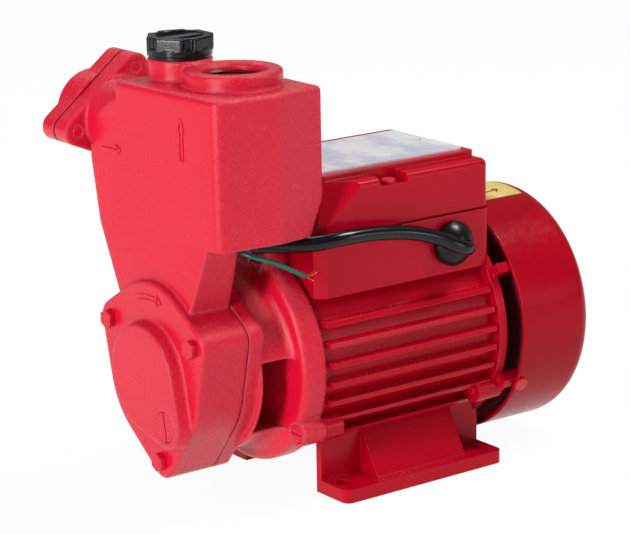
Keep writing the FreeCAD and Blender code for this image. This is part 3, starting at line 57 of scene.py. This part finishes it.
class Shader:
    """A material's node tree with short calls for adding and joining nodes."""

    def __init__(self, name):
        self.material = bpy.data.materials.new(name)
        self.material.use_nodes = True
        self.tree = self.material.node_tree
        self.surface = self.tree.nodes["Principled BSDF"]
        self.place = self.tree.nodes.new("ShaderNodeTexCoord").outputs["Object"]

    def node(self, kind, **inputs):
        item = self.tree.nodes.new(kind)
        for name, value in inputs.items():
            self.feed(item.inputs[name.replace("_", " ")], value)
        return item

    def feed(self, socket, value):
        if isinstance(value, bpy.types.NodeSocket):
            self.tree.links.new(value, socket)
        else:
            socket.default_value = value

    def stretch(self, scale):
        """The object's coordinates, with a share below 1 drawing the pattern out along that axis."""
        mapping = self.node("ShaderNodeMapping", Vector=self.place)
        mapping.inputs["Scale"].default_value = scale
        return mapping.outputs["Vector"]

    def noise(self, scale, detail=3.0, rough=0.55, place=None):
        """Noise with scale cells to the metre."""
        item = self.node("ShaderNodeTexNoise", Scale=scale, Detail=detail, Roughness=rough)
        self.tree.links.new(place or self.place, item.inputs["Vector"])
        return item.outputs["Fac"]

    def ramp(self, value, low, high, start=0.0, end=1.0):
        """Value taken from low..high to start..end, and held at the ends."""
        item = self.node("ShaderNodeMapRange", Value=value)
        item.inputs["From Min"].default_value = low
        item.inputs["From Max"].default_value = high
        item.inputs["To Min"].default_value = start
        item.inputs["To Max"].default_value = end
        return item.outputs["Result"]

    def math(self, kind, first, second=0.0, clamp=False):
        item = self.tree.nodes.new("ShaderNodeMath")
        item.operation = kind
        item.use_clamp = clamp
        self.feed(item.inputs[0], first)
        self.feed(item.inputs[1], second)
        return item.outputs[0]

    def blend(self, amount, first, second):
        item = self.tree.nodes.new("ShaderNodeMix")
        item.data_type = "RGBA"
        self.feed(item.inputs["Factor"], amount)
        self.feed(item.inputs["A"], first)
        self.feed(item.inputs["B"], second)
        return item.outputs["Result"]

    def soft_edges(self, radius):
        item = self.tree.nodes.new("ShaderNodeBevel")
        item.samples = 6
        item.inputs["Radius"].default_value = radius
        return item.outputs["Normal"]

    def edge_mask(self, normal, gain):
        """1 on the edges that soft_edges rounds, 0 on flat faces."""
        true_normal = self.tree.nodes.new("ShaderNodeNewGeometry").outputs["Normal"]
        dot = self.tree.nodes.new("ShaderNodeVectorMath")
        dot.operation = "DOT_PRODUCT"
        self.tree.links.new(normal, dot.inputs[0])
        self.tree.links.new(true_normal, dot.inputs[1])
        gap = self.math("SUBTRACT", 1.0, dot.outputs["Value"])
        return self.math("MULTIPLY", gap, gain, clamp=True)

    def facing_x(self):
        """1 on faces square to the shaft's axis, 0 on faces along it."""
        parts = self.tree.nodes.new("ShaderNodeSeparateXYZ")
        true_normal = self.tree.nodes.new("ShaderNodeNewGeometry").outputs["Normal"]
        self.tree.links.new(true_normal, parts.inputs["Vector"])
        return self.math("ABSOLUTE", parts.outputs["X"])

    def bump(self, height, depth, normal=None):
        item = self.node("ShaderNodeBump", Height=height, Distance=depth)
        if normal is not None:
            self.tree.links.new(normal, item.inputs["Normal"])
        return item.outputs["Normal"]

    def set(self, **inputs):
        """Sets inputs of the Principled shader, with _ for each space in an input's name."""
        for name, value in inputs.items():
            self.feed(self.surface.inputs[name.replace("_", " ")], value)


def rgb(red, green, blue):
    """A colour as it shows on screen, turned into the linear values that shaders take."""
    channels = [c / 12.92 if c <= 0.04045 else ((c + 0.055) / 1.055) ** 2.4 for c in (red, green, blue)]
    return (*channels, 1.0)


# ---------------------------------------------------------------- materials

EDGE_GAIN = 5.0   # how soon a rounded edge takes the pale colour
EDGE_WEAR_AND_HIGHLIGHT = 0.28  # share of the pale colour on a rounded edge: worn thin paint and painted highlight


def enamel(name, colours, grain, depth, rough, edge, shine, cast=0.0):
    """Red enamel: grain per metre and its depth make it read as sand cast or as smooth sheet.

    Cast is how far the grain's high points are lightened towards the pale colour, as painted glints of
    light.
    Where there is cast, the glints and the depth fade on faces that look along X, which are ground
    before painting.
    """
    colour, shade, worn_and_lit = colours
    m = Shader(name)
    rounded = m.soft_edges(edge)
    fine = m.noise(grain, 3.0, 0.6)
    broad = m.noise(grain / 9, 2.0)
    clouds = m.noise(14.0, 2.0)
    base = m.blend(m.ramp(clouds, 0.35, 0.7), colour, shade)
    height = m.math("ADD", fine, broad)
    if cast:
        rough_face = m.ramp(m.facing_x(), 0.55, 0.95, 1.0, 0.2)
        height = m.math("MULTIPLY", height, rough_face)
        # Painted glints: the grain's high points are lightened towards the pale colour.
        painted_glints = m.math("MULTIPLY", m.ramp(fine, 0.56, 0.70, 0.0, cast), rough_face)
        base = m.blend(painted_glints, base, worn_and_lit)
    # Rounded edges turn towards the pale colour: partly worn thin paint, partly a painted highlight.
    base = m.blend(m.math("MULTIPLY", m.edge_mask(rounded, EDGE_GAIN), EDGE_WEAR_AND_HIGHLIGHT), base, worn_and_lit)
    m.set(Base_Color=base, Roughness=m.ramp(fine, 0.3, 0.75, rough * 0.7, rough * 1.3))
    m.set(Normal=m.bump(height, depth, rounded), Specular_IOR_Level=shine)
    return m.material


def plastic(name, colour, pale, rough, grain=900.0, depth=0.00008, edge=0.0006, shine=0.5):
    """Moulded plastic or rubber, scuffed towards the pale colour in broad patches."""
    m = Shader(name)
    rounded = m.soft_edges(edge)
    fine = m.noise(grain, 3.0)
    scuffs = m.noise(60.0, 4.0, 0.7)
    m.set(Base_Color=m.blend(m.ramp(scuffs, 0.45, 0.75, 0.0, 0.6), colour, pale))
    m.set(Roughness=m.ramp(scuffs, 0.3, 0.7, rough * 0.8, rough * 1.2), Specular_IOR_Level=shine)
    m.set(Normal=m.bump(fine, depth, rounded))
    return m.material


def metal(name, colour, worn, rough, along=(1.0, 1.0, 1.0), grain=900.0, depth=0.00004):
    """Bare metal with fine tool marks, drawn out along the axis where along is small."""
    m = Shader(name)
    rounded = m.soft_edges(0.0005)
    lines = m.noise(grain, 4.0, 0.6, m.stretch(along))
    clouds = m.noise(45.0, 3.0)
    m.set(Base_Color=m.blend(m.ramp(clouds, 0.35, 0.7), colour, worn), Metallic=1.0)
    m.set(Roughness=m.ramp(lines, 0.3, 0.7, rough * 0.75, rough * 1.3))
    m.set(Normal=m.bump(lines, depth, rounded))
    return m.material


def bare_plate():
    """Aluminium plate under a protective film that has lifted and creased in places."""
    m = Shader("bare_plate")
    brushed = m.noise(1400.0, 3.0, 0.6, m.stretch((0.03, 1.0, 1.0)))
    creases = m.noise(55.0, 4.0, 0.6, m.stretch((1.0, 0.5, 1.0)))
    sheen = m.ramp(creases, 0.42, 0.58)
    tone = m.blend(sheen, rgb(0.86, 0.87, 0.93), rgb(1.0, 1.0, 1.0))
    m.set(Base_Color=tone, Metallic=0.2, Roughness=m.ramp(brushed, 0.3, 0.7, 0.22, 0.38))
    height = m.math("ADD", m.math("MULTIPLY", brushed, 0.06), creases)
    m.set(Normal=m.bump(height, 0.0009), Coat_Weight=0.4, Coat_Roughness=0.1)
    return m.material


def wound_wire():
    """Varnished copper wire wound round the stator, in turns about the shaft."""
    m = Shader("copper_winding")
    turns = m.noise(700.0, 2.0, 0.5, m.stretch((1.0, 0.2, 0.2)))
    m.set(Base_Color=m.blend(turns, rgb(0.55, 0.24, 0.10), rgb(0.78, 0.42, 0.20)))
    m.set(Roughness=m.ramp(turns, 0.3, 0.7, 0.25, 0.5), Normal=m.bump(turns, 0.0006), Coat_Weight=0.5)
    return m.material


def laminations():
    """Stacked steel sheets, seen as fine rings along the shaft."""
    m = Shader("lamination")
    sheets = m.node("ShaderNodeTexWave", Vector=m.place, Scale=320.0, Distortion=0.4)
    lines = sheets.outputs["Fac"]
    m.set(Base_Color=m.blend(lines, rgb(0.30, 0.30, 0.32), rgb(0.52, 0.52, 0.54)), Metallic=0.9)
    m.set(Roughness=0.5, Normal=m.bump(lines, 0.0002))
    return m.material


def sticker_paper():
    """Yellow label paper with a faint fibre."""
    m = Shader("sticker_paper")
    fibre = m.noise(300.0, 3.0)
    m.set(Base_Color=m.blend(fibre, rgb(0.86, 0.74, 0.36), rgb(0.93, 0.84, 0.50)))
    m.set(Roughness=m.ramp(fibre, 0.3, 0.7, 0.35, 0.55), Normal=m.bump(fibre, 0.0001))
    return m.material


FLOOR_WHITENESS = 0.95  # the rest of the floor's look is its shaded grey, which holds the shadow


def studio_floor():
    """Pale floor that the camera and mirrored rays see as nearly white, with a faint shadow."""
    m = Shader("studio_floor")
    grain = m.noise(40.0, 2.0)
    m.set(Base_Color=m.blend(grain, (0.90, 0.90, 0.90, 1.0), (0.93, 0.93, 0.93, 1.0)), Roughness=0.9)
    white = m.node("ShaderNodeEmission", Color=(1.0, 1.0, 1.0, 1.0), Strength=1.0)
    paths = m.tree.nodes.new("ShaderNodeLightPath")
    seen = m.math("MAXIMUM", paths.outputs["Is Camera Ray"], paths.outputs["Is Glossy Ray"])
    mix = m.tree.nodes.new("ShaderNodeMixShader")
    m.tree.links.new(m.math("MULTIPLY", seen, FLOOR_WHITENESS), mix.inputs["Fac"])
    m.tree.links.new(m.surface.outputs["BSDF"], mix.inputs[1])
    m.tree.links.new(white.outputs["Emission"], mix.inputs[2])
    m.tree.links.new(mix.outputs["Shader"], m.tree.nodes["Material Output"].inputs["Surface"])
    return m.material


# Each red as its main colour, a darker tone that it varies towards at random, and a pale colour for worn
# thin paint, painted highlights and painted glints.
CAST_RED = (rgb(0.82, 0.05, 0.19), rgb(0.79, 0.03, 0.16), rgb(0.96, 0.42, 0.50))
DEEP_RED = (rgb(0.71, 0.0, 0.12), rgb(0.67, 0.0, 0.11), rgb(0.88, 0.16, 0.25))
# The fan cover's red is the motor's red made darker, as painted shade.
COVER_SHADED_RED = (rgb(0.65, 0.0, 0.10), rgb(0.61, 0.0, 0.09), rgb(0.88, 0.16, 0.25))
# Dark red for the gaskets' joints, and as painted shade for the thread inside the discharge port.
SEAM_AND_BORE_SHADE_RED = (rgb(0.40, 0.0, 0.06), rgb(0.32, 0.0, 0.05), rgb(0.45, 0.02, 0.08))

MATERIALS = {
    # enamel: colours, grain per metre, depth, roughness, edge radius, shine, cast (share of painted
    # glints on the grain)
    "casing_paint": enamel("casing_paint", CAST_RED, 1150.0, 0.0004, 0.26, 0.0030, 0.34, 0.22),
    "cast_mark": enamel("cast_mark", CAST_RED, 1150.0, 0.0001, 0.30, 0.0002, 0.3),
    # The port thread's dark red is painted shade that darkens the inside of the discharge bore.
    "port_thread_shade": enamel("port_thread_shade", SEAM_AND_BORE_SHADE_RED, 900.0, 0.0001, 0.35, 0.0002, 0.3),
    "motor_paint": enamel("motor_paint", DEEP_RED, 900.0, 0.00008, 0.24, 0.0007, 0.14),
    "box_paint": enamel("box_paint", DEEP_RED, 420.0, 0.00008, 0.22, 0.0012, 0.16),
    "cover_paint": enamel("cover_paint", COVER_SHADED_RED, 300.0, 0.00006, 0.22, 0.0012, 0.12),
    "painted_bolt": enamel("painted_bolt", CAST_RED, 900.0, 0.0002, 0.3, 0.0010, 0.3),
    "gasket_paint": enamel("gasket_paint", SEAM_AND_BORE_SHADE_RED, 900.0, 0.0001, 0.6, 0.0004, 0.02),
    "bare_plate": bare_plate(),
    # plastic: colour, scuffed colour, roughness
    "black_plastic": plastic("black_plastic", rgb(0.02, 0.025, 0.045), rgb(0.04, 0.05, 0.08), 0.2,
                             depth=0.00005, edge=0.0012, shine=0.35),
    # The fan is not seen; its dark red is set so that the gap under the fan cover looks dark red, as
    # painted shade.
    "fan_plastic": plastic("fan_plastic", rgb(0.34, 0.03, 0.07), rgb(0.40, 0.05, 0.09), 0.5),
    "black_rubber": plastic("black_rubber", rgb(0.03, 0.03, 0.04), rgb(0.05, 0.05, 0.06), 0.3,
                            shine=0.3),
    "cable_jacket": plastic("cable_jacket", rgb(0.02, 0.02, 0.03), rgb(0.04, 0.04, 0.05), 0.2,
                            grain=1500.0, depth=0.00002, shine=0.35),
    "core_green": plastic("core_green", rgb(0.03, 0.34, 0.27), rgb(0.06, 0.42, 0.34), 0.3),
    "core_brown": plastic("core_brown", rgb(0.34, 0.18, 0.10), rgb(0.44, 0.26, 0.16), 0.35),
    "core_blue": plastic("core_blue", rgb(0.08, 0.22, 0.58), rgb(0.14, 0.32, 0.68), 0.35),
    # metal: colour, worn colour, roughness
    "brass": metal("brass", rgb(0.80, 0.63, 0.34), rgb(0.66, 0.47, 0.24), 0.32),
    "steel": metal("steel", rgb(0.74, 0.74, 0.75), rgb(0.62, 0.61, 0.60), 0.28, (0.1, 1.0, 1.0)),
    "copper": metal("copper", rgb(0.86, 0.52, 0.36), rgb(0.72, 0.38, 0.24), 0.3),
    "lamination": laminations(),
    "copper_winding": wound_wire(),
    "ceramic": plastic("ceramic", rgb(0.90, 0.89, 0.85), rgb(0.84, 0.83, 0.78), 0.2),
    "capacitor_case": plastic("capacitor_case", rgb(0.88, 0.88, 0.85), rgb(0.80, 0.80, 0.76), 0.35),
    "sticker_paper": sticker_paper(),
    "printed_ink": plastic("printed_ink", rgb(0.58, 0.44, 0.18), rgb(0.66, 0.52, 0.24), 0.5),
}


def dress_nodes():
    """Gives each CAD node the material that its record names."""
    for part in frame["record"]["subparts"]:
        item = frame["nodes"][part["node"]]
        item.data.materials.clear()
        item.data.materials.append(MATERIALS[part["material_slot"]])


# ---------------------------------------------------------------- mesh helpers

def mesh_object(name, vertices, faces, material):
    """A new piece of the casing's body from vertices and faces."""
    mesh = bpy.data.meshes.new(name)
    mesh.from_pydata([tuple(v) for v in vertices], [], faces)
    mesh.validate()
    item = bpy.data.objects.new(name, mesh)
    bpy.context.scene.collection.objects.link(item)
    item.data.materials.append(MATERIALS[material])
    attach(item, "root")
    return item


def smooth(item):
    for polygon in item.data.polygons:
        polygon.use_smooth = True


def soften(item, width):
    """Rounds the item's edges and shades it smooth."""
    bevel = item.modifiers.new("Bevel", "BEVEL")
    bevel.width = width
    bevel.segments = 2
    bevel.limit_method = "ANGLE"
    smooth(item)


STRIP_ROOT = 0.3      # share of a strip's height that lies below the surface
STRIP_ROUNDING = 0.6  # radius of its edges, as a share of its height


def strip(name, line, width, height, place, material):
    """A raised band along a line of (u, v) points; place(u, v, rise) gives its point on the surface."""
    vertices = []
    faces = []
    count = len(line)
    for index in range(count):
        before = line[max(index - 1, 0)]
        after = line[min(index + 1, count - 1)]
        along = Vector((after[0] - before[0], after[1] - before[1])).normalized()
        side = Vector((-along.y, along.x)) * width / 2
        for sign in (-1, 1):
            for rise in (-STRIP_ROOT * height, height):
                u = line[index][0] + side.x * sign
                v = line[index][1] + side.y * sign
                vertices.append(place(u, v, rise))
    for index in range(count - 1):
        a = 4 * index
        b = a + 4
        faces += [(a + 1, b + 1, b + 3, a + 3), (a, a + 2, b + 2, b), (a, b, b + 1, a + 1)]
        faces += [(a + 2, a + 3, b + 3, b + 2)]
    faces += [(0, 1, 3, 2), (4 * count - 4, 4 * count - 2, 4 * count - 1, 4 * count - 3)]
    soften(mesh_object(name, vertices, faces, material), height * STRIP_ROUNDING)


# ---------------------------------------------------------------- cast arrows

TANK_FACE = -0.1169   # X of the tank's front face at the middle of the pump
TANK_SKEW = 4.0       # degrees that the face turns away from square
TANK_RELIEF = 0.0006  # how far the arrows stand out of it
RIM_FACE = -0.122     # X of the pump cover's rim
RIM_RELIEF = 0.0005   # how far the arrow stands out of it
LINE_WIDTH = 0.0008   # of an outlined arrow's lines
BARB_TURN = 0.6       # radians between an arrow's shaft and each barb


def on_tank(u, v, rise):
    """A point on the tank's front face, u across (Y) and v up (Z)."""
    slope = math.tan(math.radians(TANK_SKEW))
    return Vector((TANK_FACE - slope * u - rise, u, v))


def on_rim(u, v, rise):
    """A point on the rim round the pump cover, u across (Y) and v up (Z)."""
    return Vector((RIM_FACE - rise, u, v))


def outline(name, points, width, height, place):
    """A thin raised line round a shape, one strip for each side."""
    for index, point in enumerate(points):
        side = [point, points[(index + 1) % len(points)]]
        strip("%s_%d" % (name, index), side, width, height, place, "cast_mark")


def arrow(name, line, head, width, height, place, material="cast_mark"):
    """A plain arrow: a shaft along the line and two barbs, head long, at its last point."""
    strip(name + "_shaft", line, width, height, place, material)
    tip = Vector(line[-1])
    back = (Vector(line[-2]) - tip).normalized()
    for side, turn in (("a", BARB_TURN), ("b", -BARB_TURN)):
        barb = Vector((back.x * math.cos(turn) - back.y * math.sin(turn),
                       back.x * math.sin(turn) + back.y * math.cos(turn))) * head
        points = [tuple(tip), tuple(tip + barb)]
        strip(name + "_barb_" + side, points, width, height, place, material)


def discharge_arrow():
    """The outline of an arrow that points up at the discharge port."""
    middle = -0.0208                           # across the tank
    tip, barbs, foot = 0.1920, 0.1858, 0.1722  # heights
    head, shaft = 0.0022, 0.0012               # half widths
    outline("discharge_arrow", [(middle, tip), (middle + head, barbs), (middle + shaft, barbs),
                                (middle + shaft, foot), (middle - shaft, foot),
                                (middle - shaft, barbs), (middle - head, barbs)],
            LINE_WIDTH, TANK_RELIEF, on_tank)


def suction_arrow():
    """An arrow that points away from the suction port, the way the water runs."""
    line = [(0.0405, 0.1697), (0.0262, 0.1700)]
    arrow("suction_arrow", line, head=0.0045, width=0.0012, height=TANK_RELIEF, place=on_tank)


def rotation_arrow():
    """The outline of an arrow bent round the shaft, on the rim above the pump cover."""
    first, last = 72.0, 98.0  # degrees round the shaft
    radii = {"outer": 0.0395, "inner": 0.0372}
    head = ((98.0, 0.0412), (104.0, 0.03835), (98.0, 0.0355))  # (degrees, radius) of its corners
    steps = 8

    def on_circle(degrees, radius):
        angle = math.radians(degrees)
        return (radius * math.cos(angle), AXIS + radius * math.sin(angle))

    for side, radius in radii.items():
        line = [on_circle(first + (last - first) * step / steps, radius) for step in range(steps + 1)]
        strip("rotation_arrow_" + side, line, LINE_WIDTH, RIM_RELIEF, on_rim, "cast_mark")
    corners = [on_circle(degrees, radius) for degrees, radius in head]
    outline("rotation_arrow_head", corners, LINE_WIDTH, RIM_RELIEF, on_rim)


# ---------------------------------------------------------------- port thread and plate rivets

PIPE_PITCH = 0.00231  # 11 threads to the inch
THREAD_DEPTH = 0.0007
DISCHARGE_MOUTH = (-0.0820, -0.0150, 0.2073)
DISCHARGE_RADIUS = 0.01515


def thread(name, centre, along, radius, turns):
    """A pipe thread's ridge, wound inside a plain bore from its mouth inwards."""
    flank = 0.45      # from the crest to each root, as a share of the pitch
    overlap = 0.0001  # how far the roots lie behind the bore's wall
    along = Vector(along).normalized()
    side = along.orthogonal().normalized()
    lift = along.cross(side)
    vertices = []
    faces = []
    steps = 48          # to a turn
    runout = steps / 4  # steps over which the ridge fades at each end
    total = int(turns * steps)
    for step in range(total + 1):
        angle = 2 * math.pi * step / steps
        out = side * math.cos(angle) + lift * math.sin(angle)
        fade = min(1.0, step / runout, (total - step) / runout)
        middle = Vector(centre) + along * (PIPE_PITCH * step / steps)
        for shift, reach in ((-flank, overlap), (0.0, -THREAD_DEPTH * fade), (flank, overlap)):
            vertices.append(middle + along * (PIPE_PITCH * shift) + out * (radius + reach))
    for step in range(total):
        a = 3 * step
        faces += [(a, a + 3, a + 4, a + 1), (a + 1, a + 4, a + 5, a + 2), (a + 2, a + 5, a + 3, a)]
    faces += [(0, 1, 2), (3 * total, 3 * total + 2, 3 * total + 1)]
    # Its dark red stands for the shade inside the bore, as painted shade.
    mesh_object(name, vertices, faces, "port_thread_shade")


def plate_rivets():
    """Two small domed rivets that hold the nameplate by the middle of its ends."""
    low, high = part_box("nameplate")
    inset = 0.0055   # from the plate's end
    radius = 0.0017
    sink = 0.0003    # of the dome's centre below the plate's top
    flatness = 0.45  # height of the dome as a share of its radius
    middle = (low[1] + high[1]) / 2
    for number, x in enumerate((high[0] - inset, low[0] + inset), 1):
        bpy.ops.mesh.primitive_uv_sphere_add(segments=24, ring_count=12, radius=radius,
                                             location=(x, middle, high[2] - sink))
        rivet = bpy.context.object
        rivet.name = "nameplate_rivet_%d" % number
        rivet.scale = (1.0, 1.0, flatness)
        smooth(rivet)
        rivet.data.materials.append(MATERIALS["steel"])
        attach(rivet, "root")


# ---------------------------------------------------------------- sticker on the fan cover

def cover_sticker():
    """A plain paper label wrapped over the top of the fan cover, with a simple printed arrow."""
    low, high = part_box("fan_cover")
    thickness = 0.00015
    radius = (high[2] - low[2]) / 2 + thickness
    start = low[0] + 0.0105    # behind the cover's front edge
    length = 0.026             # along the shaft
    first, sweep = 62.0, 44.0  # degrees round the cover
    vertices = []
    faces = []
    columns = 14
    for index in range(columns + 1):
        angle = math.radians(first + sweep * index / columns)
        for x in (start, start + length):
            vertices.append((x, radius * math.cos(angle), AXIS + radius * math.sin(angle)))
    for index in range(columns):
        a = 2 * index
        faces.append((a, a + 1, a + 3, a + 2))
    item = mesh_object("cover_sticker", vertices, faces, "sticker_paper")
    thick = item.modifiers.new("Solidify", "SOLIDIFY")
    thick.thickness = thickness
    thick.offset = 1.0
    smooth(item)
    ink_gap = 0.00016  # ink's base above the label's own surface

    def on_label(u, v, rise):
        """A point on the label, u along the shaft and v round the cover."""
        reach = radius + ink_gap + rise
        return Vector((u, reach * math.cos(v / radius), AXIS + reach * math.sin(v / radius)))

    bend = ((0.0035, 100.5), (0.0075, 99.0), (0.0120, 98.2), (0.0170, 98.0))  # (along, degrees)
    line = [(start + along, radius * math.radians(angle)) for along, angle in bend]
    arrow("label_arrow", line, head=0.0035, width=0.0007, height=0.00006, place=on_label,
          material="printed_ink")


# ---------------------------------------------------------------- supply cable

# Points that steer each curve, from the gland towards the pump and on to the bared ends.
CABLE = [
    (0.0280, -0.0475, 0.1140), (0.0280, -0.0526, 0.1140), (0.0240, -0.0568, 0.1148),
    (0.0170, -0.0566, 0.1176), (0.0080, -0.0534, 0.1226), (-0.0080, -0.0510, 0.1274),
    (-0.0300, -0.0507, 0.1302), (-0.0490, -0.0506, 0.1305), (-0.0605, -0.0455, 0.1286),
    (-0.0720, -0.0365, 0.1285), (-0.0840, -0.0295, 0.1286),
]
GREEN = [
    (-0.0840, -0.0295, 0.1302), (-0.0871, -0.0277, 0.1302), (-0.0910, -0.0284, 0.1298),
    (-0.0936, -0.0314, 0.1292), (-0.0936, -0.0369, 0.1281), (-0.0901, -0.0411, 0.1266),
    (-0.0830, -0.0429, 0.1240), (-0.0740, -0.0443, 0.1193), (-0.0656, -0.0460, 0.1146),
]
BROWN = [(-0.0833, -0.0284, 0.1278), (-0.0868, -0.0264, 0.1278), (-0.0906, -0.0256, 0.1274)]
BLUE = [(-0.0847, -0.0306, 0.1278), (-0.0882, -0.0286, 0.1278), (-0.0916, -0.0279, 0.1270)]


CABLE_RADIUS = 0.0036
CORE_RADIUS = 0.0012


def wire(name, route, radius, material, node):
    """A round cord along the route, which stands in for a CAD node."""
    curve = bpy.data.curves.new(name, "CURVE")
    curve.dimensions = "3D"
    spline = curve.splines.new("NURBS")
    spline.points.add(len(route) - 1)
    for point, place in zip(spline.points, route):
        point.co = (*place, 1.0)
    spline.order_u = 3
    spline.use_endpoint_u = True
    spline.resolution_u = 10
    curve.bevel_depth = radius
    curve.bevel_resolution = 6
    curve.use_fill_caps = True
    item = bpy.data.objects.new(name, curve)
    bpy.context.scene.collection.objects.link(item)
    curve.materials.append(MATERIALS[material])
    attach(item, "root")
    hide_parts(node)
    return item


def spline_length(item):
    """Length of a curve object's own centreline."""
    bare = item.copy()
    bare.data = item.data.copy()
    bare.data.bevel_depth = 0.0
    line = bpy.data.meshes.new_from_object(bare)
    points = [vertex.co for vertex in line.vertices]
    total = sum((points[edge.vertices[0]] - points[edge.vertices[1]]).length for edge in line.edges)
    bpy.data.meshes.remove(line)
    bpy.data.objects.remove(bare)
    return total


def copper_strands():
    """Fine strands splayed out of the green core's bared end."""
    start = Vector(GREEN[-1])
    along = (start - Vector(GREEN[-2])).normalized()
    side = along.cross(Vector((0, 0, 1))).normalized()
    lift = side.cross(along)
    vertices = []
    faces = []
    count = 9
    rings, corners = 6, 5
    radius = 0.00017       # of a strand
    bundle = 0.0006        # radius of the ring that the strands leave from
    tuck = 0.0006          # how far they start inside the core
    curl = (0, 0, 0.0022)  # how far their tips bend up
    for index in range(count):
        turn = 2 * math.pi * index / count
        # Strands differ in a fixed order, so that they look uneven.
        spread = 0.25 + 0.35 * ((index * 5) % 7) / 7
        length = 0.0042 + 0.002 * ((index * 3) % 5) / 5
        out = side * math.cos(turn) + lift * math.sin(turn)
        for ring in range(rings):
            t = ring / (rings - 1)
            bend = spread * length * t * t
            centre = start + along * (length * t - tuck) + out * (bundle + bend)
            centre += Vector(curl) * t * t
            for corner in range(corners):
                angle = 2 * math.pi * corner / corners
                vertices.append(centre + (side * math.cos(angle) + lift * math.sin(angle)) * radius)
        base = index * rings * corners
        for ring in range(rings - 1):
            for corner in range(corners):
                a = base + ring * corners + corner
                b = base + ring * corners + (corner + 1) % corners
                faces.append((a, b, b + corners, a + corners))
        faces.append(tuple(base + corner for corner in range(corners)))
        faces.append(tuple(base + (rings - 1) * corners + corner for corner in reversed(range(corners))))
    return mesh_object("copper_strands", vertices, faces, "copper")


def supply_cable():
    """The sheath and its three cores; the brown and blue ends go with the sheath."""
    sheath = wire("supply_cable", CABLE, CABLE_RADIUS, "cable_jacket", "cable_sheath")
    green = wire("green_core", GREEN, CORE_RADIUS, "core_green", "cable_core_green")
    brown = wire("brown_core", BROWN, CORE_RADIUS, "core_brown", "cable_core_brown")
    blue = wire("blue_core", BLUE, CORE_RADIUS, "core_blue", "cable_core_blue")
    strands = copper_strands()
    spline_length(sheath)
    spline_length(green)


# ---------------------------------------------------------------- stage, light, camera

LOOK_AT = (-0.03, 0.0, 0.11)
LAMPS = (  # name, place, width and height, watts
    ("key", (-1.45, -0.44, 0.50), (0.25, 1.0), 20.5),
    ("top", (0.60, -0.40, 1.35), (0.4, 0.4), 14.0),
    ("fill", (0.9, -1.5, 0.4), (0.4, 0.4), 2.4),
    ("back", (0.4, 1.0, 1.3), (0.8, 0.8), 6.0),
)
FLOOR_SIZE = 12.0
FLOOR_DROP = 0.0002  # below the foot, so that no faces coincide
AMBIENT = (0.86, 0.88, 0.92, 1.0)
AMBIENT_STRENGTH = 0.25

CAMERA_PLACE = (-0.73409, -0.96249, 0.41855)
CAMERA_AZIMUTH = -36.35   # degrees round from -Y
CAMERA_ELEVATION = 14.81  # degrees above level
CAMERA_ROLL = -1.06       # degrees
SENSOR_MM = 36.0
LENS_MM = 144.2


def area_lamp(name, place, size, power):
    """A rectangular lamp that faces the pump."""
    lamp = bpy.data.lights.new(name, "AREA")
    lamp.shape = "RECTANGLE"
    lamp.size, lamp.size_y = size
    lamp.energy = power
    item = bpy.data.objects.new(name, lamp)
    item.location = place
    item.rotation_euler = (Vector(LOOK_AT) - Vector(place)).to_track_quat("-Z", "Y").to_euler()
    bpy.context.scene.collection.objects.link(item)


def stage():
    """The floor, a world that the camera sees as white, and the lamps."""
    bpy.ops.mesh.primitive_plane_add(size=FLOOR_SIZE, location=(0, 0, -FLOOR_DROP))
    floor = bpy.context.object
    floor.name = "studio_floor"
    floor.data.materials.append(studio_floor())
    world = bpy.context.scene.world or bpy.data.worlds.new("Studio")
    bpy.context.scene.world = world
    world.use_nodes = True
    tree = world.node_tree
    back = tree.nodes["Background"]
    back.inputs["Color"].default_value = AMBIENT
    back.inputs["Strength"].default_value = AMBIENT_STRENGTH
    white = tree.nodes.new("ShaderNodeBackground")
    white.inputs["Color"].default_value = (1.0, 1.0, 1.0, 1.0)
    paths = tree.nodes.new("ShaderNodeLightPath")
    mix = tree.nodes.new("ShaderNodeMixShader")
    tree.links.new(paths.outputs["Is Camera Ray"], mix.inputs["Fac"])
    tree.links.new(back.outputs["Background"], mix.inputs[1])
    tree.links.new(white.outputs["Background"], mix.inputs[2])
    tree.links.new(mix.outputs["Shader"], tree.nodes["World Output"].inputs["Surface"])
    for name, place, size, power in LAMPS:
        area_lamp(name, place, size, power)


def camera():
    """A long lens, turned and placed by the values above."""
    azimuth = math.radians(CAMERA_AZIMUTH)
    elevation = math.radians(CAMERA_ELEVATION)
    roll = math.radians(CAMERA_ROLL)
    back = Vector((math.sin(azimuth) * math.cos(elevation), -math.cos(azimuth) * math.cos(elevation),
                   math.sin(elevation)))
    right = Vector((math.cos(azimuth), math.sin(azimuth), 0.0))
    up = back.cross(right)
    across = right * math.cos(roll) + up * math.sin(roll)
    upright = up * math.cos(roll) - right * math.sin(roll)
    lens = bpy.data.cameras.new("Camera")
    lens.sensor_width = SENSOR_MM
    lens.lens = LENS_MM
    item = bpy.data.objects.new("Camera", lens)
    bpy.context.scene.collection.objects.link(item)
    turn = Matrix((across, upright, back)).transposed().to_4x4()
    item.matrix_world = Matrix.Translation(Vector(CAMERA_PLACE)) @ turn
    bpy.context.scene.camera = item


dress_nodes()
discharge_arrow()
suction_arrow()
rotation_arrow()
thread("discharge_thread", DISCHARGE_MOUTH, (0, 0, -1), DISCHARGE_RADIUS, turns=5.5)
plate_rivets()
cover_sticker()
supply_cable()
stage()
camera()
bpy.context.scene.view_settings.view_transform = "Standard"
